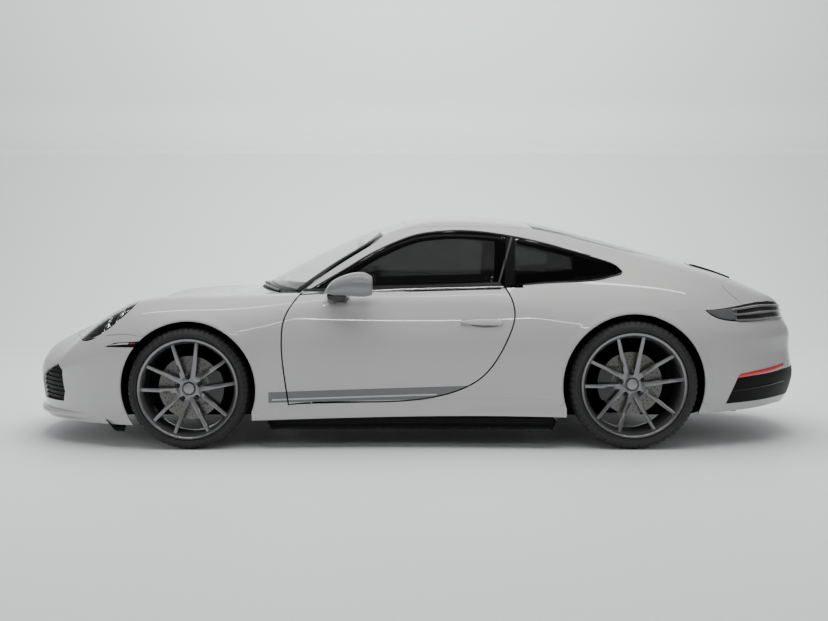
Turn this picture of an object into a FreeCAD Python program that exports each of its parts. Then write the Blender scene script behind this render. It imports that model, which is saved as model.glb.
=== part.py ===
"""A rear-engined two-door sports coupe, built as separate panels over one master body surface.

The frame is millimetres: the nose points to -X, +Z is up, and the origin is on the ground midway
along the car. The left side of the car is at -Y.
"""
import os

import FreeCAD
import Part
from functools import cache
from math import cos, radians, sin, sqrt

V = FreeCAD.Vector
os.makedirs("parts", exist_ok=True)

# Overall sizes
WHEELBASE = 2450.0
FRONT_OVERHANG = 1010.0
REAR_OVERHANG = 1059.0
BODY_WIDTH = 1852.0
ROOF_HEIGHT = 1293.0
BELT_HEIGHT = 870.0
SILL_HEIGHT = 165.0

# Wheels and tyres
FRONT_TYRE_RADIUS = 334.0
FRONT_TYRE_WIDTH = 240.0
FRONT_RIM_RADIUS = 268.0
FRONT_WHEEL_Y = 790.0
REAR_TYRE_RADIUS = 354.0
REAR_TYRE_WIDTH = 290.0
REAR_RIM_RADIUS = 281.0
REAR_WHEEL_Y = 766.0
ARCH_GAP_FRONT = 38.0
ARCH_GAP_REAR = 38.0

# Panel walls and gaps
SHUT_GAP = 6.0
DOOR_GAP = 8.0
DOOR_THICKNESS = 78.0
SIDE_WALL = 40.0
SILL_DEPTH = 150.0
RAIL_WALL = 34.0
WING_WALL = 12.0
LID_WALL = 22.0
ROOF_WALL = 26.0
BUMPER_WALL = 16.0
GLASS = 6.0
GLASS_DROP = 20.0

HALF_LENGTH = (FRONT_OVERHANG + WHEELBASE + REAR_OVERHANG) / 2
NOSE_X = -HALF_LENGTH
TAIL_X = HALF_LENGTH
FRONT_AXLE_X = NOSE_X + FRONT_OVERHANG
REAR_AXLE_X = TAIL_X - REAR_OVERHANG
HALF_WIDTH = BODY_WIDTH / 2
FRONT_AXLE = V(FRONT_AXLE_X, FRONT_WHEEL_Y, FRONT_TYRE_RADIUS)
REAR_AXLE = V(REAR_AXLE_X, REAR_WHEEL_Y, REAR_TYRE_RADIUS)
FRONT_ARCH_RADIUS = FRONT_TYRE_RADIUS + ARCH_GAP_FRONT
REAR_ARCH_RADIUS = REAR_TYRE_RADIUS + ARCH_GAP_REAR

# Wheels: the hub's face is out from the wheel's middle plane by the face offset
FRONT_FACE = 62.0
REAR_FACE = 60.0
BEAD_LIP = 14.0
SEAT = 0.3
TYRE_WALL = 12.0
TREAD_DEPTH = 14.0
HUB_RADIUS = 82.0
HUB_BORE = 31.0
BOLT_CIRCLE = 65.0
BOLT_HOLE = 15.0
SPOKE_PAIRS = 5
SPOKE_SPLAY = 15.0
SPOKE_ROOT = 27.0
SPOKE_TURN = 22.0
SPOKE_FOOT = 26.0
SPOKE_TIP = 17.0
FRONT_DISC = 175.0
REAR_DISC = 175.0
BELL_RADIUS = 92.0
DISC_BACK = 42.0
DISC_THICK = 30.0
HUB_BOSS = 52.0
KINGPIN_Y = 722.0
STRUT_RADIUS = 27.0
STRUT_TOP = 690.0

HUB_FLANGE = 34.0
BELL_WALL = 8.0
BALL_DROP = 150.0
BALL_Y = 735.0
STRUT_TOP_Y = 600.0

# Under the panels
ARCH_END = FRONT_AXLE_X + 392.0
REAR_ARCH_START = REAR_AXLE_X - 412.0
FLOOR_Z = 182.0
FLOOR_WALL = 14.0
TUNNEL_Z = 330.0
TUNNEL_HALF = 110.0
UNDERSIDE_Z = 140.0
SCUTTLE_TOP = 820.0
POST_TOP = 760.0
POST_Y = 800.0
POST_X = ARCH_END + 62.0
RAIL_Z = 205.0
FRONT_RAIL_Y = 430.0
ARM_Z = 176.0
TOWER_Z = 690.3
STUD_RADIUS = 12.0
STRUT_NECK = 16.0
STUB_RADIUS = 24.0
JACK_X = (-730.0, 670.0)
JACK_Y = 690.0
JACK_HALF = 30.0
JACK_Z = 150.0
REAR_RAIL_Y = 420.0
REAR_RAIL_Z = 330.0
ENGINE_START = REAR_AXLE_X + 90.0
ENGINE_END = REAR_AXLE_X + 640.0
ENGINE_Z = 232.0
GEARBOX_Y = 150.0
TAILPIPE_R = 45.0
PIPE_END = TAIL_X - 40.0
LINER_STEP = 15.0
SILL_RELIEF = 12.0
SILL_RELIEF_Y = 800.0
LINER_WALL = 4.0
LINER_FRONT_Y = 560.0
LINER_REAR_Y = 600.0
LINER_OUT = 960.0
LINER_SKIN = 60.0
RAIL_END = 600.0
TUB_WALL = 5.0
TUB_TOP = 700.0
SHAFT_HOLE = 26.0
SHELF_Y = 570.0
BULKHEAD_WALL = 10.0
STEP_Z = 455.0
STEP_X = 990.0
REAR_SEAT_Y = 240.0
REAR_SEAT_W = 420.0

# Door hinges
HINGE_X = -702.0
HINGE_Y = 874.0
HINGE_HEIGHTS = (430.0, 600.0)
HINGE_ARM = 24.0
HINGE_LEAF = 28.0
PIN_RADIUS = 6.0
PIN_FIT = 0.06
POCKET_HALF = 36.0
POCKET_BACK = 42.0
POCKET_OUT = 10.0
HINGE_EYE = 8.0

# Lids turn about lines across the car
BONNET_HINGE_X = -745.0
BONNET_HINGE_Z = 843.0
BONNET_EYE_Y = 600.0
BONNET_EYE = 8.0
BONNET_ARM = 12.0
BONNET_PIN = 4.0
BONNET_SLOT = 20.0
COWL_NOTCH = 10.0
COWL_NOTCH_Y = 26.0
ARM_LONG = 90.0
ARM_TOP = 8.0
ARM_FOOT = 24.0
LUG = 4.0
LID_HINGE_X = 1606.0
LID_HINGE_Z = 1006.0

# Inside the cabin
SEAT_Y = 370.0
SEAT_W = 490.0
SEAT_X = -90.0
CUSHION_Z = 380.0
HEAD_Z = 1060.0
DRIVER_Y = 370.0
DASH_X = -760.0
DASH_Y = 560.0
WHEEL_R = 178.0
COLUMN = 196.0
COLUMN_R = 30.0
COLUMN_LEAN = 22.0
WHEEL_AT = (-180.0, -370.0, 770.0)

# Small pieces on the skin
MIRROR_ROOT = 770.0
HANDLE_PROUD = 9.0
GRILLE_SET = 4.0
GRILLE_WALL = 10.0
GRILLE_BACK = 3.0
GRILLE_PITCH = 26.0
GRILLE_SLOT = 17.0
WIPER_LIFT = 2.0
WIPER_REST = 1.0
WIPER_T = 12.0
WIPER_W = 16.0
WIPER_LINES = ((-706, -566, -866, -40), (-866, -24, -728, 530))

# Lamps, lid slats, tailpipes and the rear insert
LAMP_BAR_DEPTH = 46.0
LENS_WALL = 5.0
LAMP_CUP_DEPTH = 90.0
CUP_WALL = 5.0
COWL_WALL = 14.0
GLASS_FAN_SHARE = 0.40
LID_SLATS = 8
LID_SLAT_START = 1652.0
LID_SLAT_END = 1846.0
LID_SLOT_SHARE = 0.55
LID_SLOT_Y = 380.0
LID_SPINE = 60.0
TAILPIPE_Y = 92.0
TAILPIPE_Z = 330.0
TAILPIPE_HOLE = 54.0
INSERT = [(1785, 389), (1720, 245), (2320, 262), (2320, 425)]
BUMPER_FOOT = [(2320, 221), (1900, 206), (1585, 195), (1280, 195)]

# The drawing that the body's curves are read from, and the sizes it was drawn at
DRAWN_STATIONS = (-2259.5, -1249.5, 1200.5, 2259.5)
DRAWN_LEVELS = (0.0, 165.0, 870.0, 1293.0)
DRAWN_HALF_WIDTH = 926.0


def piecewise(value, drawn, real):
    """Linear map through the knots, carried on past the ends."""
    last = len(drawn) - 2
    k = max(i for i in range(last + 1) if i == 0 or value >= drawn[i])
    share = (value - drawn[k]) / (drawn[k + 1] - drawn[k])
    return real[k] + share * (real[k + 1] - real[k])


def station(x):
    """A drawn distance along the car, at the real length."""
    return piecewise(x, DRAWN_STATIONS, (NOSE_X, FRONT_AXLE_X, REAR_AXLE_X, TAIL_X))


def level(z):
    """A drawn height, at the real height."""
    return piecewise(z, DRAWN_LEVELS, (0.0, SILL_HEIGHT, BELT_HEIGHT, ROOF_HEIGHT))


def width(y):
    """A drawn distance from the centreline, at the real width."""
    return y * HALF_WIDTH / DRAWN_HALF_WIDTH


class Curve:
    """A natural cubic spline through (place, value) pairs, level past its ends."""

    def __init__(self, pairs, place=station, value=level):
        self.x = [place(a) for a, _ in pairs]
        self.y = [value(b) for _, b in pairs]
        n = len(pairs)
        h = [self.x[i + 1] - self.x[i] for i in range(n - 1)]
        diag, rise, m = [1.0] * n, [0.0] * n, [0.0] * n
        for i in range(1, n - 1):
            slope = (self.y[i + 1] - self.y[i]) / h[i] - (self.y[i] - self.y[i - 1]) / h[i - 1]
            low = h[i - 1] / diag[i - 1] if i > 1 else 0.0
            diag[i] = 2 * (h[i - 1] + h[i]) - low * h[i - 1]
            rise[i] = 6 * slope - low * rise[i - 1]
        for i in range(n - 2, 0, -1):
            m[i] = (rise[i] - h[i] * m[i + 1]) / diag[i]
        self.h, self.m = h, m
        self.last = n - 2
        self.k = 0

    def __call__(self, x):
        xs = self.x
        if x <= xs[0]:
            return self.y[0]
        if x >= xs[-1]:
            return self.y[-1]
        k = self.k
        while x < xs[k]:
            k -= 1
        while x > xs[k + 1]:
            k += 1
        self.k = k
        h = self.h[k]
        b = (x - xs[k]) / h
        a = 1 - b
        bend = ((a * a * a - a) * self.m[k] + (b * b * b - b) * self.m[k + 1]) * h * h / 6
        return a * self.y[k] + b * self.y[k + 1] + bend


def plain(value):
    return value


# Lines of the lower body: plan half-width, bonnet and deck centre, wing and haunch crest
half_width = Curve([(-1250, 921), (-1000, 915), (-800, 899), (-500, 886), (0, 881), (400, 886),
                    (700, 899), (950, 916), (1200, 926)], value=width)
bonnet_line = Curve([(-2245, 428), (-2203, 478), (-2134, 536), (-2041, 588), (-1936, 640),
                     (-1750, 706), (-1500, 766), (-1250, 808), (-1000, 846), (-850, 866),
                     (-500, 880), (0, 880), (800, 880), (1500, 800), (2200, 640)])
crest_line = Curve([(-2245, 330), (-2150, 420), (-2041, 498), (-1936, 573), (-1850, 640),
                    (-1794, 684), (-1713, 737), (-1643, 777), (-1574, 805), (-1422, 830),
                    (-1283, 839), (-1049, 842), (-875, 846), (-652, 854), (-200, 872),
                    (186, 882), (472, 896), (801, 917), (1062, 928), (1300, 926), (1500, 910),
                    (1700, 874), (1845, 832), (1960, 806), (2050, 788), (2150, 758), (2230, 716)])
crest_blend = Curve([(-2200, 90), (-1900, 150), (-1600, 210), (-1250, 235), (-900, 170),
                     (-600, 76), (0, 60), (400, 76), (900, 220), (1250, 290), (1700, 250),
                     (2000, 140), (2240, 90)], value=plain)
upper_inset = Curve([(-1900, 30), (-1250, 45), (-700, 62), (-300, 68), (300, 68), (700, 60),
                     (1200, 40), (1800, 30)], value=width)
lower_inset = Curve([(-2000, 60), (-1500, 30), (-900, 26), (-400, 34), (200, 34), (700, 20),
                     (1200, 16), (1800, 40)], value=width)

# Lines of the cabin: roof centre, glass base in plan, and how the cabin flows into the haunch
roof_line = Curve([(-1900, 300), (-1300, 660), (-1050, 803), (-897, 890), (-660, 1020),
                   (-542, 1080), (-394, 1146), (-217, 1216), (-64, 1262), (60, 1284),
                   (207, 1293), (418, 1286), (631, 1262), (898, 1206), (1150, 1139),
                   (1300, 1098), (1509, 1039), (1663, 997), (1760, 968), (1957, 886),
                   (2049, 846), (2144, 799), (2230, 742)])
cabin_base = Curve([(-900, 700), (-600, 732), (-300, 746), (0, 752), (300, 752), (600, 742),
                    (900, 718), (1200, 680), (1500, 630), (1800, 570), (2200, 500)], value=width)
base_blend = Curve([(-1000, 30), (-700, 24), (0, 24), (400, 40), (700, 110), (1000, 170),
                    (1300, 220), (1600, 220), (1900, 130), (2060, 60), (2200, 40)], value=plain)

# How far back the glass and roof sweep at their sides, and how much the roof is crowned
wrap_line = Curve([(-1000, 78), (-650, 74), (-400, 54), (-170, 36), (0, 20), (250, 0)],
                  value=plain)
crown_line = Curve([(-1000, 0), (-350, 3), (-100, 9), (150, 15), (600, 16), (1200, 14),
                    (1700, 10), (2200, 8)], value=plain)
PER_SPAN = 1e-5

# Ends of the body: how far the nose and the tail reach past their axles at each height
nose_reach = Curve([(80, 952), (150, 976), (230, 986), (320, 994), (400, 998), (440, 999),
                    (520, 995), (620, 982), (760, 950)], place=level, value=plain)
tail_reach = Curve([(150, 965), (190, 988), (230, 1020), (290, 1044), (350, 1059), (420, 1054),
                    (500, 1040), (560, 1038), (620, 1040), (668, 1022), (706, 1000), (762, 972),
                    (800, 950)], place=level, value=plain)
NOSE_SCALE = FRONT_OVERHANG / (DRAWN_STATIONS[1] - DRAWN_STATIONS[0])
TAIL_SCALE = REAR_OVERHANG / (DRAWN_STATIONS[3] - DRAWN_STATIONS[2])
NOSE_POWER = 2.5
TAIL_POWER = 2.4
CREST_Y = width(660.0)
VALLEY_Y = width(260.0)
CREST_FALL = 60.0
WIDEST_Z = level(560.0)
UPPER_SPAN = level(880.0) - level(600.0)
LOWER_SPAN = level(430.0) - level(130.0)
SILL_FLARE = 16.0
SILL_FLARE_Z = level(190.0)
CABIN_TILT = 0.47
CABIN_CURVE = 0.00036
CABIN_SOFT = 70.0
CABIN_CLIP_Z = level(720.0)
RAIL_BLEND = 105.0


def smooth_max(a, b, k):
    """The larger of two distances, rounded over where they differ by less than k."""
    h = k - abs(a - b)
    top = a if a > b else b
    return top + h * h / (4 * k) if h > 0 else top


def smooth_min(a, b, k):
    return -smooth_max(-a, -b, k)


def ease(t):
    t = min(1.0, max(0.0, t))
    return t * t * (3 - 2 * t)


def side_y(x, z):
    """Half-width of the lower body at a height: widest at mid height, drawn in above and below."""
    up = max(0.0, z - WIDEST_Z) / UPPER_SPAN
    down = max(0.0, WIDEST_Z - 60 - z) / LOWER_SPAN
    inset = upper_inset(x) * up * up + lower_inset(x) * down * down
    middle = ease((x - station(-1050)) / 250) * ease((station(980) - x) / 250)
    flare = SILL_FLARE * middle * ease((SILL_FLARE_Z + 70 - z) / 90)
    return half_width(x) - inset + flare


def plan_distance(x, y, z):
    """How far a point lies outside the plan outline: straight sides and superellipse ends."""
    w = side_y(x, z)
    if x < FRONT_AXLE_X:
        t, n = (FRONT_AXLE_X - x) / (nose_reach(z) * NOSE_SCALE), NOSE_POWER
    elif x > REAR_AXLE_X:
        t, n = (x - REAR_AXLE_X) / (tail_reach(z) * TAIL_SCALE), TAIL_POWER
    else:
        return y - w
    return ((t ** n + (y / w) ** n) ** (1 / n) - 1) * w


def low_top(x, y):
    """Height of the lower body: bonnet valley, wing crest, then a fall to the side."""
    rise = ease((y - VALLEY_Y) / (CREST_Y - VALLEY_Y))
    out = max(0.0, y - CREST_Y) / (HALF_WIDTH - CREST_Y)
    middle = bonnet_line(x)
    return middle + (crest_line(x) - middle) * rise - CREST_FALL * out * out


def cabin_side(x, z):
    up = z - level(860)
    soft = 0.5 * (up + sqrt(up * up + CABIN_SOFT * CABIN_SOFT)) - 0.5 * CABIN_SOFT
    return cabin_base(x) - CABIN_TILT * soft - CABIN_CURVE * soft * soft


def cabin_top(x, y):
    """Roof height: the screen wraps back round its sides, and the roof is crowned."""
    across = y * y * PER_SPAN
    return roof_line(x - wrap_line(x) * across) - crown_line(x) * across


def low_distance(x, y, z):
    """The lower body: below zero inside it, above zero outside it."""
    y = abs(y)
    return smooth_max(plan_distance(x, y, z), z - low_top(x, y), crest_blend(x))


def cabin_distance(x, y, z):
    """The cabin and the sloping tail, over the lower body."""
    y = abs(y)
    cabin = smooth_max(y - cabin_side(x, z), z - cabin_top(x, y), RAIL_BLEND)
    return smooth_max(cabin, plan_distance(x, y, min(z, CABIN_CLIP_Z)), CABIN_SOFT)


def body_distance(x, y, z):
    """Both, flowing into each other."""
    return smooth_min(low_distance(x, y, z), cabin_distance(x, y, z), base_blend(x))


def normal(p, field):
    """Outward direction of a surface."""
    e = 1.0
    g = V(field(p.x + e, p.y, p.z) - field(p.x - e, p.y, p.z),
          field(p.x, p.y + e, p.z) - field(p.x, p.y - e, p.z),
          field(p.x, p.y, p.z + e) - field(p.x, p.y, p.z - e))
    return g.normalize()


def hit(start, direction, reach, field):
    """Where a ray from inside a field leaves it."""
    lo, hi = 0.0, reach
    for _ in range(16):
        mid = (lo + hi) / 2
        p = start + direction * mid
        if field(p.x, p.y, p.z) < 0:
            lo = mid
        else:
            hi = mid
    return start + direction * ((lo + hi) / 2)


# Seams between panels, seen from the side as (x, z) or from above as (x, y)
DOOR_FRONT = [(-699, 246), (-713, 354), (-730, 493), (-734, 621), (-722, 713), (-682, 794),
              (-640, 850)]
BELT = [(-640, 850), (-500, 857), (-197, 869), (186, 879), (497, 890)]
DOOR_REAR = [(497, 890), (534, 818), (546, 737), (517, 633), (460, 518), (369, 402), (240, 327),
             (60, 280), (-210, 260), (-699, 246)]
SILL_TOP = [(-900, 231), (-699, 246), (-210, 258), (60, 272), (840, 268)]
SILL_FOOT = [(-900, 160), (-326, 173), (138, 181), (840, 180)]
WING_FOOT = [(-2420, 590), (-2000, 600), (-1850, 597), (-1768, 612), (-1480, 616)]
GLASS_TOP = [(-600, 862), (-363, 1001), (-255, 1066), (-119, 1131), (-6, 1172), (124, 1193),
             (255, 1199), (384, 1191), (547, 1167), (709, 1133), (933, 1072), (1048, 1038),
             (1134, 1001), (1158, 972)]
GLASS_FOOT = [(1158, 972), (1119, 955), (1062, 941), (801, 919), (497, 894)]
DOOR_GLASS_REAR = [(497, 894), (512, 1172)]
PILLAR_REAR = [(552, 900), (572, 1160)]
SCREEN_EDGE = [(-760, 780), (-646, 857), (-444, 1001), (-282, 1101), (-176, 1185), (-150, 1330)]
BUMPER_TOP = [(1280, 742), (1339, 747), (1449, 760), (1597, 765)]
LAMP_TOP = [(1597, 765), (1800, 782), (2016, 797), (2122, 788), (2240, 780)]
LAMP_FOOT = [(1597, 765), (1674, 716), (1733, 704), (1972, 698), (2240, 694)]
BONNET_SIDE = [(-742, 640), (-900, 628), (-1200, 580), (-1500, 520), (-1800, 445), (-2120, 340)]
COWL = [(-932, 0), (-915, 200), (-850, 430), (-742, 640)]
SCREEN_FOOT = [(-880, 0), (-864, 200), (-800, 420), (-700, 590), (-640, 690)]
ROOF_FRONT = [(-217, 0), (-212, 250), (-190, 470), (-172, 640)]
ROOF_REAR = [(640, 0), (648, 250), (670, 480), (690, 640)]
RAIL_LINE = [(-172, 512), (200, 520), (480, 512), (670, 494)]
REAR_GLASS_SIDE = [(670, 494), (1063, 505), (1400, 490), (1600, 452)]
DECK_FRONT = [(1600, 452), (1618, 250), (1624, 0)]
LID_SIDE_Y = 432.0
LID_REAR_X = 1868.0
LID_REAR_Z = 925.0
SPOILER_FRONT = [(1730, 990), (1734, 920), (1756, 868), (1845, 786), (1880, 740)]
SPOILER_PLAN = [(1868, 432), (1800, 500), (1738, 600), (1720, 760)]
LAMP_CENTRE = (-1710.0, 700.0, 697.0)
LAMP_LONG = 190.0
LAMP_WIDE = 126.0
LAMP_SLOPE = 37.0

# Half of the gap at a fixed seam, and at one that opens
SEAM = 0.2
OPEN = SHUT_GAP / 2
DOOR_OPEN = DOOR_GAP / 2

# How near a fitted surface keeps to the body's lines
FIT = 2.0

FAN_HEIGHT = level(420.0)
FAN_SHARE = 0.42


def side_points(points):
    return [V(station(a), 0, level(b)) for a, b in points]


def plan_points(points):
    return [V(station(a), width(b), 0) for a, b in points]


def grown(curves, up, grow):
    """Curves that meet end to end round a face, each moved outward along its own normals."""
    loop = [p for c in curves for p in c[:-1]]
    area = sum((a.cross(b)).dot(up) for a, b in zip(loop, loop[1:] + loop[:1]))
    out = up * (grow if area > 0 else -grow)

    def way(c, k):
        a, b = c[max(k - 1, 0)], c[min(k + 1, len(c) - 1)]
        return (b - a).normalize().cross(out)

    moved = []
    for i, c in enumerate(curves):
        row = [p + way(c, k) for k, p in enumerate(c)]
        moved.append(row)
    for i, c in enumerate(moved):
        before, source = moved[i - 1], curves[i]
        a, b = way(curves[i - 1], len(curves[i - 1]) - 1), way(source, 0)
        share = 1 + a.dot(b) / (grow * grow) if grow else 2
        corner = source[0] + (a + b) * (1 / max(share, 0.3))
        before[-1], c[0] = corner, corner
    return moved


def curve_edge(points):
    if len(points) == 2:
        return Part.makeLine(points[0], points[1])
    line = Part.BSplineCurve()
    line.interpolate(points)
    return line.toShape()


def prism(curves, up, reach, grow):
    """A solid that runs along an axis from the outline's plane, the outline grown first."""
    edges = [curve_edge(c) for c in (grown(curves, up, grow) if grow else curves)]
    return Part.Face(Part.Wire(edges)).extrude(up * reach)


def side_prism(curves, grow=0.0, whole=False):
    """The outline run out from the centreline, or right across the body."""
    shift = V(0, HALF_WIDTH + 200 if whole else 0, 0)
    rows = [[p - shift for p in side_points(c)] for c in curves]
    return prism(rows, V(0, 1, 0), (HALF_WIDTH + 200) * (2 if whole else 1), grow)


def plan_prism(curves, grow=0.0):
    return prism([plan_points(c) for c in curves], V(0, 0, 1), ROOF_HEIGHT + 200, grow)


def closed(*lines):
    """Curves joined end to end by straight lines where they don't meet."""
    result = []
    for k, line in enumerate(lines):
        result.append(list(line))
        after = lines[(k + 1) % len(lines)][0]
        if line[-1] != after:
            result.append([line[-1], after])
    return result


def box(x0, x1, y0, y1, z0, z1):
    return Part.makeBox(x1 - x0, y1 - y0, z1 - z0, V(x0, y0, z0))


def disc(centre, axis, radius, length):
    return Part.makeCylinder(radius, length, centre, axis)


def surface(rows):
    s = Part.BSplineSurface()
    s.approximate(Points=rows, DegMin=3, DegMax=5, Tolerance=FIT, Continuity=2)
    return s


def wall(rows, thickness, field, push=None):
    """A closed wall: the outer face runs through the rows, the inner one is set in from it."""
    inner = [[p - (push or normal(p, field)) * thickness for p in row] for row in rows]
    a, b = surface(rows), surface(inner)
    u0, u1, v0, v1 = a.bounds()
    s0, s1, t0, t1 = b.bounds()
    rims = [(a.uIso(u0), b.uIso(s0)), (a.uIso(u1), b.uIso(s1)),
            (a.vIso(v0), b.vIso(t0)), (a.vIso(v1), b.vIso(t1))]
    faces = [a.toShape(), b.toShape()]
    faces += [Part.makeRuledSurface(p.toShape(), q.toShape()) for p, q in rims]
    shell = Part.makeShell(faces)
    shell.sewShape(0.05)
    solid = Part.makeSolid(shell)
    if solid.Volume < 0:
        solid.reverse()
    return solid


def steps(a, b, n):
    return [a + (b - a) * i / n for i in range(n + 1)]


def plan_width(x):
    """Half-width of the body in plan at its widest height."""
    if x < FRONT_AXLE_X:
        t = (FRONT_AXLE_X - x) / FRONT_OVERHANG
        return half_width(x) * max(0.0, 1 - t ** NOSE_POWER) ** (1 / NOSE_POWER)
    if x > REAR_AXLE_X:
        t = (x - REAR_AXLE_X) / REAR_OVERHANG
        return half_width(x) * max(0.0, 1 - t ** TAIL_POWER) ** (1 / TAIL_POWER)
    return half_width(x)


def side_rows(x0, x1, nx, a0, a1, na, field=body_distance, share=FAN_SHARE, height=FAN_HEIGHT):
    """Rows of points on the right side, found by rays that fan out from a line inside."""
    rows = []
    for x in steps(station(x0), station(x1), nx):
        start = V(x, share * plan_width(x), height)
        rays = [V(0, cos(radians(a)), sin(radians(a))) for a in steps(a0, a1, na)]
        rows.append([hit(start, ray, HALF_WIDTH, field) for ray in rays])
    return rows


def top_rows(x0, x1, nx, limit0, limit1, ny, field=body_distance, floor=None):
    """Rows of points on the top, found by upright rays, out to a limit on each side."""
    rows = []
    for x in steps(station(x0), station(x1), nx):
        share = (x - station(x0)) / (station(x1) - station(x0))
        reach = width(limit0 + (limit1 - limit0) * share)
        row = []
        for y in steps(-reach, reach, ny):
            row.append(hit(V(x, y, floor or level(330)), V(0, 0, 1), ROOF_HEIGHT, field))
        rows.append(row)
    return rows


def over_rows(x0, x1, nx, spread, na, field=body_distance):
    """Rows of points from side to side over the top, found by rays from the centreline."""
    rows = []
    for x in steps(station(x0), station(x1), nx):
        rays = [V(0, sin(radians(a)), cos(radians(a))) for a in steps(-spread, spread, na)]
        rows.append([hit(V(x, 0, FAN_HEIGHT), ray, HALF_WIDTH, field) for ray in rays])
    return rows


def end_rows(centre_x, facing, spread, na, z0, z1, nz, field=low_distance):
    """Rows of points round the nose or the tail, found by level rays from an upright line."""
    rows = []
    for z in steps(level(z0), level(z1), nz):
        start = V(centre_x, 0, z)
        rays = [V(facing * cos(radians(a)), sin(radians(a)), 0) for a in steps(-spread, spread, na)]
        rows.append([hit(start, ray, FRONT_OVERHANG * 1.2, field) for ray in rays])
    return rows


def both(shape):
    """The shape and its mirror image across the centreline."""
    return Part.makeCompound([shape, mirrored(shape)])


def mirrored(shape):
    return shape.mirror(V(0, 0, 0), V(0, 1, 0))


def arch(front, grow=0.0):
    axle = FRONT_AXLE if front else REAR_AXLE
    radius = (FRONT_ARCH_RADIUS if front else REAR_ARCH_RADIUS) + grow
    return disc(V(axle.x, 300, axle.z), V(0, 1, 0), radius, HALF_WIDTH)


def door_outline(grow):
    return side_prism(closed(DOOR_FRONT, BELT, DOOR_REAR), grow)


def door_glass_outline(grow, drop=0.0):
    """The door's window; its foot can be dropped into the door's top edge."""
    top = [p for p in GLASS_TOP if p[0] < 500] + [(512, 1172)]
    foot = [(a, b - drop) for a, b in [(497, 894)] + list(reversed(BELT))[1:]]
    return side_prism(closed([(-640, 850)] + top, DOOR_GLASS_REAR[::-1], foot), grow)


def quarter_glass_outline(grow):
    behind = [PILLAR_REAR, [(572, 1160), (572, 1300)], [(572, 1300), (1300, 1300)],
              [(1300, 1300), (1300, 800)], [(1300, 800), (552, 800)], [(552, 800), (552, 900)]]
    return window_opening(grow).common(side_prism(behind, grow))


def window_opening(grow):
    """The whole side window, from the front corner to the rear tip."""
    foot = GLASS_FOOT + list(reversed(BELT))[1:]
    return side_prism(closed([(-640, 850)] + GLASS_TOP, foot), grow)


def lamp_outline(grow):
    """The headlamp's oval, along the slope of the wing that it lies in."""
    slope = radians(LAMP_SLOPE)
    out = V(-sin(slope), 0, cos(slope))
    x, y, z = LAMP_CENTRE
    centre = V(station(x), width(y), level(z)) - out * 260
    oval = Part.Ellipse(V(0, 0, 0), LAMP_LONG + grow, LAMP_WIDE + grow)
    oval = Part.Face(Part.Wire(oval.toShape())).extrude(V(0, 0, 520))
    oval.Placement = FreeCAD.Placement(centre, FreeCAD.Rotation(V(0, 1, 0), -LAMP_SLOPE))
    return oval


def across(line):
    """The same line on the other side of the centreline, run the other way."""
    return [(a, -b) for a, b in reversed(line)]


def bonnet_outline(grow):
    front = BONNET_SIDE[-1]
    return plan_prism([across(COWL)[:-1] + COWL, BONNET_SIDE, [front, (front[0], -front[1])],
                       across(BONNET_SIDE)], grow)


def beyond(line, z, grow):
    """Right across the body, everything between a side-view line and a level."""
    a, b = line[0], line[-1]
    return side_prism([line, [b, (b[0], z)], [(b[0], z), (a[0], z)], [(a[0], z), a]], grow, True)


WING_REGION = [WING_FOOT, [(-1480, 616), (-1480, 225)], [(-1480, 225), (-699, 225)],
               [(-699, 225), (-699, 246)], DOOR_FRONT, [(-640, 850), (-600, 1100)],
               [(-600, 1100), (-2420, 1100)], [(-2420, 1100), (-2420, 590)]]


def cowl_region(grow):
    """From above, the strip between the bonnet and the windscreen, and all behind it."""
    return plan_prism([COWL, [(-742, 640), (-640, 702)], [(-640, 702), (-500, 702)],
                       [(-500, 702), (-500, 0)], [(-500, 0), (-932, 0)]], grow)


def front_wing():
    rows = side_rows(-2100, -590, 30, -34, 80, 28)
    panel = wall(rows, WING_WALL, body_distance).common(side_prism(WING_REGION, -SEAM))
    panel = panel.cut(bonnet_outline(OPEN)).cut(cowl_region(SEAM)).cut(sill_outline(SEAM))
    return panel.cut(door_outline(DOOR_OPEN)).cut(arch(True)).cut(lamp_outline(SEAM))


def bonnet():
    rows = top_rows(-2110, -720, 24, 410, 690, 22)
    panel = wall(rows, LID_WALL, body_distance)
    panel = panel.common(bonnet_outline(-OPEN)).cut(beyond(WING_FOOT, 0, SHUT_GAP))
    return panel.fuse([bonnet_arm(-1), bonnet_arm(1)])


def bonnet_hinge():
    return station(BONNET_HINGE_X), level(BONNET_HINGE_Z)


def bonnet_arm(side):
    """A flat arm from under the bonnet's rear edge to the eye that it turns on."""
    x, z = bonnet_hinge()
    y = side * BONNET_EYE_Y - BONNET_ARM / 2
    side_view = [(x - ARM_LONG, z - ARM_TOP), (x - ARM_LONG, z - ARM_FOOT), (x, z - BONNET_EYE),
                 (x, z + 6)]
    bar = plate(side_view, y, y + BONNET_ARM)
    eye = disc(V(x, y, z), V(0, 1, 0), BONNET_EYE, BONNET_ARM)
    bore = disc(V(x, y - 1, z), V(0, 1, 0), BONNET_PIN + PIN_FIT, BONNET_ARM + 2)
    return bar.fuse(eye).cut(bore)


# Openings in the front bumper, seen from the front as (y, z)
SIDE_INTAKE = [(432, 236), (668, 240), (700, 300), (708, 420), (660, 452), (470, 372), (432, 330)]
CENTRE_INTAKE = [(-372, 206), (372, 206), (384, 250), (352, 296), (-352, 296), (-384, 250)]


def front_view(points, x0, x1, grow=0.0):
    corners = [V(x0, width(a), level(b)) for a, b in points]
    sides = [list(pair) for pair in zip(corners, corners[1:] + corners[:1])]
    return prism(sides, V(1, 0, 0), x1 - x0, grow)


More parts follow.
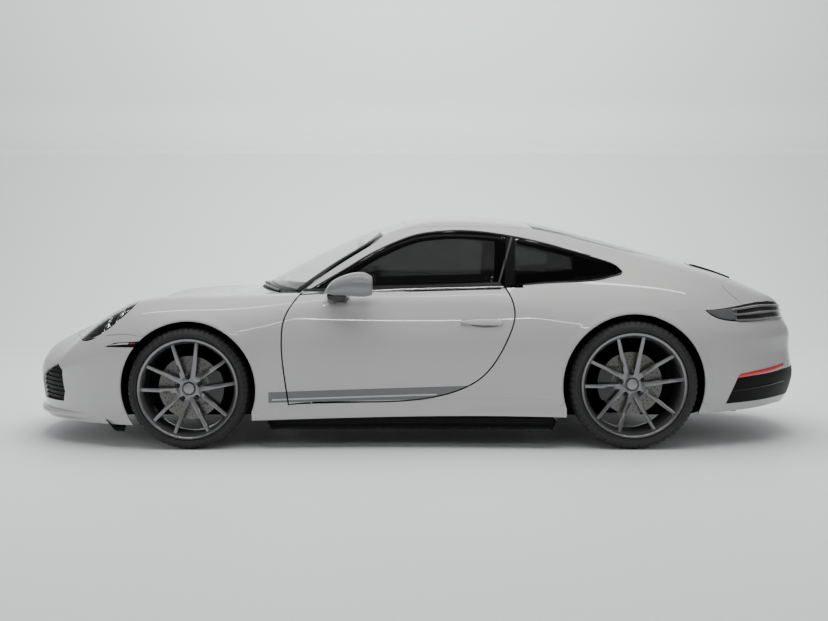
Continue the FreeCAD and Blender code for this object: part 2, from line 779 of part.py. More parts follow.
def front_bumper():
    rows = end_rows(FRONT_AXLE_X, -1, 76, 38, 130, 690, 18)
    shell = wall(rows, BUMPER_WALL, low_distance)
    shell = shell.common(beyond(WING_FOOT, 0, -SEAM))
    lamp, hole = lamp_outline(SEAM), front_view(SIDE_INTAKE, NOSE_X - 50, NOSE_X + 500)
    for cut in (arch(True), lamp, hole, marker_outline(SEAM)):
        shell = shell.cut(cut).cut(mirrored(cut))
    return shell.cut(front_view(CENTRE_INTAKE, NOSE_X - 50, NOSE_X + 500))


DECK_EDGE = [REAR_GLASS_SIDE, [(1600, 452), (1604, LID_SIDE_Y)],
             [(1604, LID_SIDE_Y), (LID_REAR_X, LID_SIDE_Y)],
             [(LID_REAR_X, LID_SIDE_Y), (LID_REAR_X, 0)], [(LID_REAR_X, 0), (670, 0)],
             [(670, 0), (670, 494)]]


def lid_reach(grow):
    """What the lid sweeps: its rear edge is round about the hinge's line."""
    axis_z, rear_z = level(LID_HINGE_Z), level(LID_REAR_Z)
    x = station(LID_HINGE_X)
    radius = sqrt((station(LID_REAR_X) - x) ** 2 + (rear_z - axis_z) ** 2) + grow
    half = width(LID_SIDE_Y) + grow
    return disc(V(x, -half, axis_z), V(0, 1, 0), radius, 2 * half)


def spoiler_region(grow):
    """Behind the spoiler's shut line, from above and from the side, and over the lamp bar."""
    a, b = SPOILER_FRONT[0], SPOILER_FRONT[-1]
    side = side_prism([SPOILER_FRONT, [b, (2300, b[1])], [(2300, b[1]), (2300, a[1])],
                       [(2300, a[1]), a]], grow, True)
    c, d = SPOILER_PLAN[0], SPOILER_PLAN[-1]
    plan = plan_prism([across(SPOILER_PLAN), [(c[0], -c[1]), c], SPOILER_PLAN,
                       [d, (2300, d[1])], [(2300, d[1]), (2300, -d[1])],
                       [(2300, -d[1]), (d[0], -d[1])]], grow)
    return side.common(plan)


def quarter():
    """The rear wing, from the door's shut line over the arch to the tail, with the rear pillar."""
    rows = side_rows(20, 2180, 36, -32, 84, 32)
    panel = wall(rows, SIDE_WALL, body_distance)
    region = [[(-210, 250), (840, 250)], [(840, 250), (1280, 250)], [(1280, 250), (1280, 742)],
              BUMPER_TOP, LAMP_TOP, [(2240, 780), (2240, 1400)], [(2240, 1400), (-210, 1400)],
              [(-210, 1400), (-210, 250)]]
    panel = panel.common(side_prism(region, -SEAM)).cut(sill_outline(SEAM))
    panel = panel.cut(door_outline(DOOR_OPEN)).cut(window_opening(DOOR_OPEN)).cut(arch(False))
    front = box(station(-400), station(RAIL_END), 0, HALF_WIDTH, level(885), ROOF_HEIGHT + 100)
    panel = panel.cut(front).cut(plan_prism(DECK_EDGE, SEAM)).cut(spoiler_region(SEAM))
    return largest(panel.cut(roof_outline(SEAM)).cut(lid_reach(OPEN)))


def rail():
    """The front pillar and the roof's side rail, over the door's window."""
    rows = side_rows(-790, RAIL_END + 40, 22, 40, 86, 18, cabin_distance)
    panel = wall(rows, RAIL_WALL, cabin_distance)
    region = [SCREEN_EDGE, [(-150, 1330), (RAIL_END, 1330)], [(RAIL_END, 1330), (RAIL_END, 1100)],
              [(RAIL_END, 1100), (-640, 850)], [(-640, 850), (-760, 780)]]
    panel = panel.common(side_prism(region, -SEAM)).cut(window_opening(DOOR_OPEN))
    return panel.cut(roof_outline(SEAM))


def sill_outline(grow):
    return side_prism([SILL_TOP, [SILL_TOP[-1], SILL_FOOT[-1]], SILL_FOOT[::-1],
                       [SILL_FOOT[0], SILL_TOP[0]]], grow)


def sill():
    """The beam under the door, cut back inside its lip where the steered tyre turns."""
    rows = side_rows(-900, 830, 20, -34, -8, 8, low_distance)
    panel = wall(rows, SILL_DEPTH, low_distance, V(0, 1, 0))
    panel = panel.common(sill_outline(-SEAM)).cut(door_outline(DOOR_OPEN))
    at = FRONT_AXLE
    turning = disc(V(at.x, 300, at.z), V(0, 1, 0), FRONT_ARCH_RADIUS + SILL_RELIEF,
                   SILL_RELIEF_Y - 300)
    return panel.cut(arch(True)).cut(arch(False)).cut(turning)


def door():
    """The door up to its belt, as deep as the whole real door."""
    rows = side_rows(-760, 580, 20, -22, 54, 22, low_distance)
    panel = wall(rows, DOOR_THICKNESS, low_distance, V(0, 1, 0))
    return panel.common(door_outline(-DOOR_OPEN))


def roof_outline(grow):
    front = across(ROOF_FRONT[:3])[:-1] + ROOF_FRONT[:3]
    rear = across(ROOF_REAR[:3])[:-1] + ROOF_REAR[:3]
    return plan_prism([front, [(-190, 470), (-172, 512)], RAIL_LINE, [(670, 494), (670, 480)],
                       rear[::-1], [(670, -480), (670, -494)], across(RAIL_LINE),
                       [(-172, -512), (-190, -470)]], grow)


def roof():
    rows = top_rows(-260, 720, 16, 545, 530, 16, cabin_distance)
    return wall(rows, ROOF_WALL, cabin_distance).common(roof_outline(-SEAM))


def windscreen():
    rows = top_rows(-930, -150, 18, 690, 590, 20, cabin_distance, level(500))
    panel = wall(rows, GLASS, cabin_distance)
    foot = across(SCREEN_FOOT)[:-1] + SCREEN_FOOT
    top = across(ROOF_FRONT)[:-1] + ROOF_FRONT
    region = [foot, [(-640, 690), (-172, 640)], top[::-1], [(-172, -640), (-640, -690)]]
    side = side_prism([SCREEN_EDGE, [(-150, 1330), (-1000, 1330)], [(-1000, 1330), (-1000, 780)],
                       [(-1000, 780), (-760, 780)]], -SEAM, True)
    return panel.common(plan_prism(region, -SEAM)).common(side).cut(roof_outline(SEAM))


def rear_window():
    rows = top_rows(620, 1650, 16, 530, 480, 16)
    panel = wall(rows, GLASS, body_distance)
    foot = [(1600, -452), (1618, -250), (1624, 0), (1618, 250), (1600, 452)]
    top = across(ROOF_REAR[:3])[:-1] + ROOF_REAR[:3]
    region = [top, [(670, 480), (670, 494)], REAR_GLASS_SIDE, foot[::-1],
              across(REAR_GLASS_SIDE), [(670, -494), (670, -480)]]
    return panel.common(plan_prism(region, -SEAM))


def tail_block(thickness):
    rows = end_rows(REAR_AXLE_X + 60, 1, 86, 34, 160, 800, 18, body_distance)
    return wall(rows, thickness, body_distance)


def rear_bumper():
    """Everything round the tail under the lamp bar, with the recess for the dark insert."""
    foot = BUMPER_FOOT[0]
    region = [BUMPER_TOP, LAMP_FOOT, [(2240, 694), (2320, 694)], [(2320, 694), foot],
              BUMPER_FOOT, [(1280, 195), (1280, 742)]]
    shell = tail_block(BUMPER_WALL).common(side_prism(region, -SEAM, True))
    shell = shell.cut(insert_outline(SEAM))
    return shell.cut(arch(False)).cut(mirrored(arch(False)))


def insert_outline(grow):
    sides = [list(pair) for pair in zip(INSERT, INSERT[1:] + INSERT[:1])]
    return side_prism(sides, grow, True)


def rear_insert():
    """The dark band low in the rear bumper, with the openings for the tailpipes."""
    panel = tail_block(BUMPER_WALL).common(insert_outline(-SEAM))
    for y in (-TAILPIPE_Y, TAILPIPE_Y):
        panel = panel.cut(disc(V(TAIL_X - 400, y, TAILPIPE_Z), V(1, 0, 0), TAILPIPE_HOLE, 500))
    return panel


def lamp_bar():
    """The light bar that runs right round the tail, with its housing's depth."""
    region = [LAMP_TOP, [(2240, 780), (2320, 780)], [(2320, 780), (2320, 694)],
              [(2320, 694), (2240, 694)], LAMP_FOOT[::-1]]
    return tail_block(LAMP_BAR_DEPTH).common(side_prism(region, -SEAM, True))


def spoiler():
    """The tail's top panel, from its shut line back to the lip over the lamp bar."""
    panel = wall(over_rows(1640, 2190, 18, 76, 40), LID_WALL, body_distance)
    region = [LAMP_TOP, [(2240, 780), (2320, 780)], [(2320, 780), (2320, 1200)],
              [(2320, 1200), (1597, 1200)], [(1597, 1200), (1597, 765)]]
    panel = panel.common(side_prism(region, -SEAM, True)).common(spoiler_region(-SEAM))
    return largest(panel.cut(lid_reach(OPEN)))


def engine_lid():
    """The lid under the rear window: a frame with a row of slats across the air intake."""
    rows = top_rows(1570, 1930, 10, 450, 450, 14)
    panel = wall(rows, LID_WALL, body_distance)
    front = [(1604, -LID_SIDE_Y), (1622, -250), (1628, 0), (1622, 250), (1604, LID_SIDE_Y)]
    rear = LID_REAR_X + LID_WALL
    region = [front, [front[-1], (rear, LID_SIDE_Y)], [(rear, LID_SIDE_Y), (rear, -LID_SIDE_Y)],
              [(rear, -LID_SIDE_Y), front[0]]]
    lid = panel.common(plan_prism(region, -OPEN)).common(lid_reach(-OPEN))
    pitch = (LID_SLAT_END - LID_SLAT_START) / LID_SLATS
    slots = []
    for k in range(LID_SLATS):
        a = LID_SLAT_START + k * pitch
        for side in (-1, 1):
            y0, y1 = sorted((side * LID_SPINE / 2, side * LID_SLOT_Y))
            slots.append(box(station(a), station(a + pitch * LID_SLOT_SHARE), y0, y1,
                             level(800), level(1100)))
    return lid.cut(slots)


def side_glass(outline, x0, x1):
    rows = side_rows(x0, x1, 16, 24, 80, 14, cabin_distance, GLASS_FAN_SHARE, level(720))
    return wall(rows, GLASS, cabin_distance).common(outline)


def door_glass():
    pane = side_glass(door_glass_outline(-DOOR_OPEN, GLASS_DROP), -700, 560)
    return pane.cut(door_outline(SEAT - DOOR_OPEN))


def quarter_glass():
    return side_glass(quarter_glass_outline(DOOR_OPEN - 2 * SEAM), 500, 1240)


def pillar_cover():
    """The black strip between the door's window and the fixed one behind it."""
    region = [[(497, 894), (552, 900)], PILLAR_REAR, [(572, 1160), (512, 1172)],
              DOOR_GLASS_REAR[::-1]]
    cover = side_glass(side_prism(region, DOOR_OPEN - 2 * SEAM), 440, 620)
    cover = cover.cut(quarter_glass_outline(DOOR_OPEN)).cut(door_glass_outline(DOOR_OPEN))
    return largest(cover.cut(door_outline(DOOR_OPEN)))


def headlamp():
    """The clear cover, flush with the wing, and the lamp's cup with its two beam units."""
    rows = side_rows(-2000, -1420, 18, 5, 76, 18, body_distance)
    cover = wall(rows, LENS_WALL, body_distance).common(lamp_outline(-SEAM))
    return cover


def lamp_cup():
    rows = side_rows(-2000, -1420, 18, 5, 76, 18, body_distance)
    clear = LINER_STEP + LINER_WALL + CUP_WALL
    cup = wall(rows, LAMP_CUP_DEPTH, body_distance).common(lamp_outline(-SEAM))
    hollow = wall(rows, LAMP_CUP_DEPTH - CUP_WALL, body_distance).cut(arch(True, clear + CUP_WALL))
    cup = cup.cut(arch(True, clear)).cut(hollow.common(lamp_outline(-CUP_WALL)))
    return largest(cup.cut(wall(rows, LENS_WALL + SEAM, body_distance)))


def cowl():
    """The black scuttle between the bonnet and the windscreen."""
    rows = top_rows(-1010, -600, 8, 720, 700, 22)
    panel = wall(rows, COWL_WALL, body_distance)
    region = [across(COWL)[:-1] + COWL, [(-742, 640), (-640, 690)],
              (across(SCREEN_FOOT)[:-1] + SCREEN_FOOT)[::-1], [(-640, -690), (-742, -640)]]
    panel = panel.common(plan_prism(region, -SEAM)).cut(bonnet_outline(OPEN))
    x, z = bonnet_hinge()
    for side in (-1, 1):
        y = side * BONNET_EYE_Y
        gap = BONNET_ARM / 2 + SEAT
        panel = panel.cut(box(x - 200, x + BONNET_SLOT, y - gap - 5, y + gap + 5, z - 60, z + 60))
        corner = sorted((y + side * COWL_NOTCH_Y, side * HALF_WIDTH))
        panel = panel.cut(box(x, x + COWL_NOTCH, *corner, z - 5, z + 60))
        lugs = []
        for way in (-1, 1):
            y0, y1 = sorted((y + way * gap, y + way * (gap + LUG + 5)))
            lugs.append(box(x - BONNET_EYE, x + BONNET_SLOT + 8, y0, y1, z - BONNET_EYE, z + 5))
        pin = disc(V(x, y - gap - 2, z), V(0, 1, 0), BONNET_PIN, 2 * gap + 4)
        panel = panel.fuse(lugs + [pin])
    return panel


# Wheels: the rim's section, the spokes in pairs, and the tyre's section
def ring(points, centre_y=0.0):
    """A ring turned about the Y axis from its (radius, y) section."""
    corners = [V(r, y + centre_y, 0) for r, y in points]
    face = Part.Face(Part.makePolygon(corners + corners[:1]))
    return face.revolve(V(0, 0, 0), V(0, 1, 0), 360)


def tyre(radius, seat, across_tyre):
    """Tread, rounded shoulders and bulged sidewalls, hollow over the rim."""
    h = across_tyre / 2
    bead = seat + BEAD_LIP
    middle = (radius + seat) / 2
    return ring([(bead, -h + 20), (middle, -h), (radius - 20, -h + 9), (radius, -h + 46),
                 (radius, h - 46), (radius - 20, h - 9), (middle, h), (bead, h - 20),
                 (bead + TYRE_WALL, h - 34), (radius - TREAD_DEPTH, h - 46),
                 (radius - TREAD_DEPTH, 46 - h), (bead + TYRE_WALL, 34 - h)])


def rim(radius, across_tyre, face_y):
    """Barrel with its two flanges, five pairs of thin straight spokes and the hub's disc."""
    h = across_tyre / 2 - 14
    lip = radius + BEAD_LIP - SEAT
    barrel = ring([(radius + 8, -h), (lip, -h + 6), (lip, -h + 16), (radius - 8, -h + 26),
                   (radius - 14, -h + 60), (radius - 14, h - 60), (radius - 8, h - 26),
                   (lip, h - 16), (lip, h - 6), (radius + 8, h), (radius - 4, h - 4),
                   (radius - 18, h - 26), (radius - 22, h - 60), (radius - 22, -h + 60),
                   (radius - 18, -h + 26), (radius - 4, -h)])
    inner, outer = HUB_RADIUS - 10, radius - 12
    section = ring([(inner, face_y - 26), (outer, h - 44), (outer, h - 16),
                    ((inner + outer) / 2, face_y + 16), (inner, face_y + 2)])
    blades = []
    for k in range(SPOKE_PAIRS):
        for side in (-1, 1):
            middle = SPOKE_TURN + k * 360.0 / SPOKE_PAIRS
            a, b = middle + side * SPOKE_SPLAY, middle + side * SPOKE_ROOT
            p, q = radians(a), radians(b)
            foot = V(cos(q), 0, sin(q)) * (inner - 14)
            tip = V(cos(p), 0, sin(p)) * (outer + 6)
            along = (tip - foot).normalize()
            wide = V(-along.z, 0, along.x)
            corners = [foot - wide * SPOKE_FOOT / 2, tip - wide * SPOKE_TIP / 2,
                       tip + wide * SPOKE_TIP / 2, foot + wide * SPOKE_FOOT / 2]
            corners = [V(c.x, -200, c.z) for c in corners]
            blade = Part.Face(Part.makePolygon(corners + corners[:1])).extrude(V(0, 400, 0))
            blades.append(blade.common(section))
    hub = ring([(HUB_BORE, face_y - 34), (HUB_RADIUS, face_y - 34), (HUB_RADIUS, face_y - 6),
                (HUB_RADIUS - 8, face_y + 2), (HUB_BORE + 8, face_y + 2), (HUB_BORE, face_y - 4)])
    holes = []
    for k in range(SPOKE_PAIRS):
        a = radians(SPOKE_TURN + k * 360.0 / SPOKE_PAIRS)
        foot = V(BOLT_CIRCLE * cos(a), face_y - 22, BOLT_CIRCLE * sin(a))
        holes.append(disc(foot, V(0, 1, 0), BOLT_HOLE, 60))
    cap = disc(V(0, face_y - 30, 0), V(0, 1, 0), HUB_BORE, 34)
    whole = barrel.fuse(blades + [hub, cap])
    return whole.cut(holes).removeSplitter()


def brake_disc(radius, face_y):
    """The drilled disc with its bell, behind the wheel's mounting face."""
    y = face_y - 34
    bore = STUB_RADIUS + PIN_FIT
    return ring([(bore, y - 8), (BELL_RADIUS - 8, y - 8), (BELL_RADIUS - 8, y - DISC_BACK),
                 (radius, y - DISC_BACK), (radius, y - DISC_BACK + DISC_THICK),
                 (BELL_RADIUS, y - DISC_BACK + DISC_THICK), (BELL_RADIUS, y), (bore, y)])


def placed(shape, at, side):
    """A wheel piece drawn for the right side, put at its axle on either side."""
    shape = shape.copy()
    shape.translate(at)
    return shape if side > 0 else mirrored(shape)


def kingpin(origin=V(0, 0, 0)):
    """The line that a front upright turns about: its two ends and its direction."""
    ball = V(FRONT_AXLE_X, BALL_Y, FRONT_TYRE_RADIUS - BALL_DROP) - origin
    top = V(FRONT_AXLE_X, STRUT_TOP_Y, STRUT_TOP) - origin
    return ball, top, (top - ball).normalize()


def kingpin_bore():
    ball, top, axis = kingpin()
    bore = disc(ball - axis * 60, axis, STUD_RADIUS + PIN_FIT, (top - ball).Length + 120)
    return bore.fuse(mirrored(bore))


def upright(front, side):
    """The upright that carries the hub, with the caliper over the disc's edge. A front one
    turns with its strut about the line from the lower ball joint to the strut's top."""
    at, face = (FRONT_AXLE, FRONT_FACE) if front else (REAR_AXLE, REAR_FACE)
    radius = FRONT_DISC if front else REAR_DISC
    reach = 1 if front else -1
    back = face - HUB_FLANGE - BELL_WALL
    web = box(-38, 38, -72, -30, (30 if front else 10) - BALL_DROP, 120)
    hub = disc(V(0, -72, 0), V(0, 1, 0), HUB_BOSS, back - SEAT + 72)
    stub = disc(V(0, back - HUB_BOSS, 0), V(0, 1, 0), STUB_RADIUS, HUB_BOSS + BELL_WALL + 3)
    pieces = [hub, stub]
    if front:
        ball, top, axis = kingpin(at)
        foot = ball + axis * 200
        pieces.append(disc(foot, axis, STRUT_RADIUS, (top - foot).Length - STRUT_NECK))
        pieces.append(disc(foot, axis, STUD_RADIUS, (top - foot).Length + 8))
        pieces.append(disc(ball - axis * 15, axis, STUD_RADIUS, 60))
        pieces.append(box(-34, 34, foot.y - 20, -30, foot.z + 4, foot.z + 66))
    pads = [(radius - 62, back - DISC_BACK - 14), (radius + 14, back - DISC_BACK - 14),
            (radius + 14, back + 12), (radius - 62, back + 12)]
    slot = [(0.1, back + BELL_WALL - DISC_BACK - 5), (radius + 6, back + BELL_WALL - DISC_BACK - 5),
            (radius + 6, back + BELL_WALL - DISC_BACK + DISC_THICK + 5),
            (0.1, back + BELL_WALL - DISC_BACK + DISC_THICK + 5)]
    wedge = box(*sorted((reach * 20, reach * 400)), -200, 200, -92, 92)
    caliper = ring(pads).common(wedge).cut(ring(slot))
    bridge = box(*sorted((reach * 20, reach * (radius - 30))), -60, back - DISC_BACK - 8, -40, 40)
    pieces += [bridge, caliper]
    return placed(web.fuse(pieces), at, side)


# The structure under the panels
def plate(points, y0, y1):
    """A side-view polygon of real places, run across from y0 to y1."""
    corners = [V(x, y0, z) for x, z in points]
    return Part.Face(Part.makePolygon(corners + corners[:1])).extrude(V(0, y1 - y0, 0))


def floor_pan():
    pan = box(ARCH_END, REAR_ARCH_START, -800, 800, FLOOR_Z, FLOOR_Z + FLOOR_WALL)
    tunnel = plate([(ARCH_END, FLOOR_Z + FLOOR_WALL), (REAR_ARCH_START, FLOOR_Z + FLOOR_WALL),
                    (REAR_ARCH_START, TUNNEL_Z), (ARCH_END, TUNNEL_Z)],
                   -TUNNEL_HALF, TUNNEL_HALF)
    half = TUNNEL_HALF - 10
    pan = pan.fuse(tunnel).cut(box(ARCH_END - 1, REAR_ARCH_START + 1, -half, half,
                                   FLOOR_Z - 1, TUNNEL_Z - 8))
    rails = [box(ARCH_END, REAR_ARCH_START, y - 30, y + 30, UNDERSIDE_Z + 6, FLOOR_Z)
             for y in (-480, 480)]
    pads = [box(x - JACK_HALF, x + JACK_HALF, y - JACK_HALF, y + JACK_HALF, JACK_Z, FLOOR_Z)
            for x in JACK_X for y in (-JACK_Y, JACK_Y)]
    pan = pan.fuse(rails + pads)
    for beam in (sill_shape(), mirrored(sill_shape())):
        pan = pan.cut(beam)
    return pan


def scuttle():
    """The front bulkhead, with a post at each side for the door's hinges."""
    wall_plate = box(ARCH_END, ARCH_END + 12, -700, 700, FLOOR_Z + FLOOR_WALL, SCUTTLE_TOP)
    posts = []
    for side in (-1, 1):
        y0, y1 = sorted((side * 640, side * POST_Y))
        posts.append(box(ARCH_END, POST_X, y0, y1, FLOOR_Z + FLOOR_WALL, POST_TOP))
        for z in HINGE_HEIGHTS:
            posts.append(hinge_arm(z, side))
    tunnel = box(ARCH_END - 1, ARCH_END + 60, -TUNNEL_HALF - SEAT, TUNNEL_HALF + SEAT,
                 FLOOR_Z, TUNNEL_Z + SEAT)
    return wall_plate.fuse(posts).cut([tunnel, sill_shape(), mirrored(sill_shape())])


def hinge_arm(z, side):
    """The arm that reaches from the post to the door's hinge pin, with the pin."""
    pin = V(HINGE_X, HINGE_Y, z)
    root = V(HINGE_X - 44, POST_Y - 12, z)
    along = (pin - root).normalize()
    wide = V(-along.y, along.x, 0) * 6
    corners = [root - wide, pin - wide, pin + wide, root + wide]
    corners = [V(c.x, c.y, z - HINGE_ARM / 2) for c in corners]
    arm = Part.Face(Part.makePolygon(corners + corners[:1])).extrude(V(0, 0, HINGE_ARM))
    foot = box(POST_X - 10, HINGE_X - 36, POST_Y - 30, POST_Y - 2, z - HINGE_ARM / 2,
               z + HINGE_ARM / 2)
    boss = disc(V(pin.x, pin.y, z - HINGE_ARM / 2), V(0, 0, 1), HINGE_EYE, HINGE_ARM)
    stud = disc(V(pin.x, pin.y, z - HINGE_LEAF), V(0, 0, 1), PIN_RADIUS, 2 * HINGE_LEAF)
    arm = arm.fuse([foot, boss, stud])
    return arm if side > 0 else mirrored(arm)


def hinge_pocket(z):
    """The space inside the door's front edge that the arm swings in."""
    return box(HINGE_X - 120, HINGE_X + POCKET_BACK, POST_Y - 160, HINGE_Y + POCKET_OUT,
               z - POCKET_HALF, z + POCKET_HALF)


def hinge_leaf(z):
    """The door's two eyes over and under the arm."""
    leaves = []
    for low in (z - HINGE_LEAF, z + HINGE_ARM / 2 + SEAT):
        height = HINGE_LEAF - HINGE_ARM / 2 - SEAT
        eye = disc(V(HINGE_X, HINGE_Y, low), V(0, 0, 1), HINGE_EYE, height)
        strap = box(HINGE_X, HINGE_X + POCKET_BACK + 4, HINGE_Y - 6, HINGE_Y + 6, low, low + height)
        hole = disc(V(HINGE_X, HINGE_Y, low - 1), V(0, 0, 1), PIN_RADIUS + PIN_FIT, height + 2)
        leaves.append(eye.fuse(strap).cut(hole))
    return leaves


def front_frame():
    """The two front rails, the axle's crossmember, the bumper's beam and the strut towers."""
    rails = [box(NOSE_X + 330, ARCH_END, y - 35, y + 35, RAIL_Z, RAIL_Z + 110)
             for y in (-FRONT_RAIL_Y, FRONT_RAIL_Y)]
    beam = box(NOSE_X + 300, NOSE_X + 330, -560, 560, RAIL_Z + 10, RAIL_Z + 110)
    cross = box(FRONT_AXLE_X - 80, FRONT_AXLE_X + 80, -FRONT_RAIL_Y - 35, FRONT_RAIL_Y + 35,
                ARM_Z, RAIL_Z)
    towers = []
    for side in (-1, 1):
        y0, y1 = sorted((side * (FRONT_RAIL_Y + 10), side * (STRUT_TOP_Y + 60)))
        towers.append(box(FRONT_AXLE_X - 70, FRONT_AXLE_X + 70, y0, y1, TOWER_Z, TOWER_Z + 10))
        y0, y1 = sorted((side * (FRONT_RAIL_Y + 10), side * (FRONT_RAIL_Y + 22)))
        towers.append(box(FRONT_AXLE_X - 70, FRONT_AXLE_X + 70, y0, y1, RAIL_Z + 50, TOWER_Z + 10))
    return beam.fuse(rails + [cross] + towers).cut(kingpin_bore())


def rear_frame():
    """The rear rails with their cross beams, and the box that the rear arms swing from."""
    start = REAR_ARCH_START + BULKHEAD_WALL + SEAT
    rails = [box(start, TAIL_X - 300, y - 30, y + 30, REAR_RAIL_Z, REAR_RAIL_Z + 80)
             for y in (-REAR_RAIL_Y, REAR_RAIL_Y)]
    rear = box(ENGINE_END, ENGINE_END + 40, -REAR_RAIL_Y, REAR_RAIL_Y, REAR_RAIL_Z, REAR_RAIL_Z + 80)
    box_beam = box(REAR_AXLE_X - 80, REAR_AXLE_X + 80, -REAR_RAIL_Y - 30, REAR_RAIL_Y + 30,
                   REAR_AXLE.z - BALL_DROP - 30, REAR_AXLE.z - BALL_DROP + 8)
    posts = [box(REAR_AXLE_X - 80, REAR_AXLE_X + 80, y - 30, y + 30,
                 REAR_AXLE.z - BALL_DROP, REAR_RAIL_Z) for y in (-REAR_RAIL_Y, REAR_RAIL_Y)]
    posts += [box(ENGINE_END, ENGINE_END + 40, y - 30, y + 30, UNDERSIDE_Z + 6, REAR_RAIL_Z)
              for y in (-REAR_RAIL_Y + 30, REAR_RAIL_Y - 30)]
    shaft = disc(V(REAR_AXLE_X, -600, REAR_AXLE.z), V(0, 1, 0), SHAFT_HOLE, 1200)
    return rear.fuse(rails + [box_beam] + posts).cut(shaft)


def lower_arms(front):
    """A wide-based arm on each side, out to the upright's lower joint."""
    at = FRONT_AXLE if front else REAR_AXLE
    root = (FRONT_RAIL_Y + 35 if front else REAR_RAIL_Y + 30) + SEAT
    tip = BALL_Y if front else at.y - 51
    top = at.z - BALL_DROP + 10 - SEAT
    corners = [V(at.x - 78, root, top - 26), V(at.x - 16, tip + 14, top - 26),
               V(at.x + 16, tip + 14, top - 26), V(at.x + 78, root, top - 26)]
    arm = Part.Face(Part.makePolygon(corners + corners[:1])).extrude(V(0, 0, 26))
    hole = [V(at.x - 44, root + 16, 0), V(at.x - 8, tip - 80, 0), V(at.x + 8, tip - 80, 0),
            V(at.x + 44, root + 16, 0)]
    arm = arm.cut(Part.Face(Part.makePolygon(hole + hole[:1])).extrude(V(0, 0, 500)))
    return both(arm.cut(kingpin_bore()) if front else arm)


def driveshafts():
    start, end = GEARBOX_Y + SEAT, REAR_AXLE.y - 72 - SEAT
    shaft = disc(V(REAR_AXLE_X, start, REAR_AXLE.z), V(0, 1, 0), 15, end - start)
    for y in (start, end - 70):
        shaft = shaft.fuse(disc(V(REAR_AXLE_X, y, REAR_AXLE.z), V(0, 1, 0), 42, 70))
    return both(shaft)


def engine_block():
    """The flat engine behind the axle and the gearbox ahead of it, as one plain block."""
    engine = box(ENGINE_START, ENGINE_END, -330, 330, ENGINE_Z, ENGINE_Z + 330)
    gearbox = box(REAR_ARCH_START + 60, ENGINE_START, -GEARBOX_Y, GEARBOX_Y, ENGINE_Z, ENGINE_Z + 210)
    return engine.fuse(gearbox)


def exhaust():
    """The silencer across the tail and its two pipes."""
    start = ENGINE_END + 40
    box_shape = box(start, start + 150, -360, 360, TAILPIPE_Z - 40, TAILPIPE_Z + 80)
    box_shape = box_shape.makeFillet(30, box_shape.Edges[8:12])
    pipes = []
    for y in (-TAILPIPE_Y, TAILPIPE_Y):
        tube = disc(V(start + 140, y, TAILPIPE_Z), V(1, 0, 0), TAILPIPE_R, PIPE_END - start - 140)
        pipes.append(tube.cut(disc(V(start + 160, y, TAILPIPE_Z), V(1, 0, 0), TAILPIPE_R - 4, 600)))
    return box_shape.fuse(pipes)


def underbody():
    """The flat tray under the floor, from the front axle's arches to the rear's."""
    tray = box(NOSE_X + 330, TAIL_X - 340, -520, 520, UNDERSIDE_Z, UNDERSIDE_Z + 6)
    return tray.cut(box(REAR_AXLE_X - 100, REAR_AXLE_X + 100, -600, 600, 0, 600))


def arch_liners():
    """Half rings over each wheel, out to the panels' inner faces."""
    liners = []
    for front in (True, False):
        at = FRONT_AXLE if front else REAR_AXLE
        radius = (FRONT_ARCH_RADIUS if front else REAR_ARCH_RADIUS) + LINER_STEP
        inner = LINER_FRONT_Y if front else LINER_REAR_Y
        shell = disc(V(at.x, inner, at.z), V(0, 1, 0), radius + LINER_WALL, LINER_OUT - inner)
        shell = shell.cut(disc(V(at.x, inner - 1, at.z), V(0, 1, 0), radius, 600))
        shell = shell.cut(box(at.x - 600, at.x + 600, 0, 1000, -200, at.z - 90))
        skin = wall(side_rows(*((-1760, -740) if front else (700, 1720)), 16, -30, 60, 16),
                    LINER_SKIN, body_distance)
        liners.append(shell.cut(skin).cut(sill_shape()).Solids)
    return both(Part.makeCompound([max(group, key=lambda q: q.Volume) for group in liners]))


def trunk_tub():
    """The luggage tub under the bonnet, open at the top."""
    x0, x1 = NOSE_X + 390, ARCH_END
    tub = box(x0, x1, -FRONT_RAIL_Y - 10, FRONT_RAIL_Y + 10, RAIL_Z + 110, TUB_TOP)
    inside = box(x0 + TUB_WALL, x1 - TUB_WALL, -FRONT_RAIL_Y - 10 + TUB_WALL,
                 FRONT_RAIL_Y + 10 - TUB_WALL, RAIL_Z + 110 + TUB_WALL, TUB_TOP + 400)
    slope = plate([(x0 - 10, TUB_TOP - 170), (x0 - 10, TUB_TOP + 10), (x1 - 200, TUB_TOP + 10)],
                  -600, 600)
    return tub.cut(inside).cut(slope)


def rear_bulkhead():
    """The sloping wall behind the rear seats, up to the shelf under the rear window."""
    t = BULKHEAD_WALL
    x, top, z = REAR_ARCH_START, STEP_X + 165, STEP_Z + 445
    line = [(x, FLOOR_Z), (x, STEP_Z), (STEP_X, STEP_Z), (top, z), (top + 330, z + 60),
            (top + 330, z + 60 - t), (top + t, z - t), (STEP_X + t, STEP_Z - t),
            (x + t, STEP_Z - t), (x + t, FLOOR_Z)]
    return plate(line, -SHELF_Y, SHELF_Y)


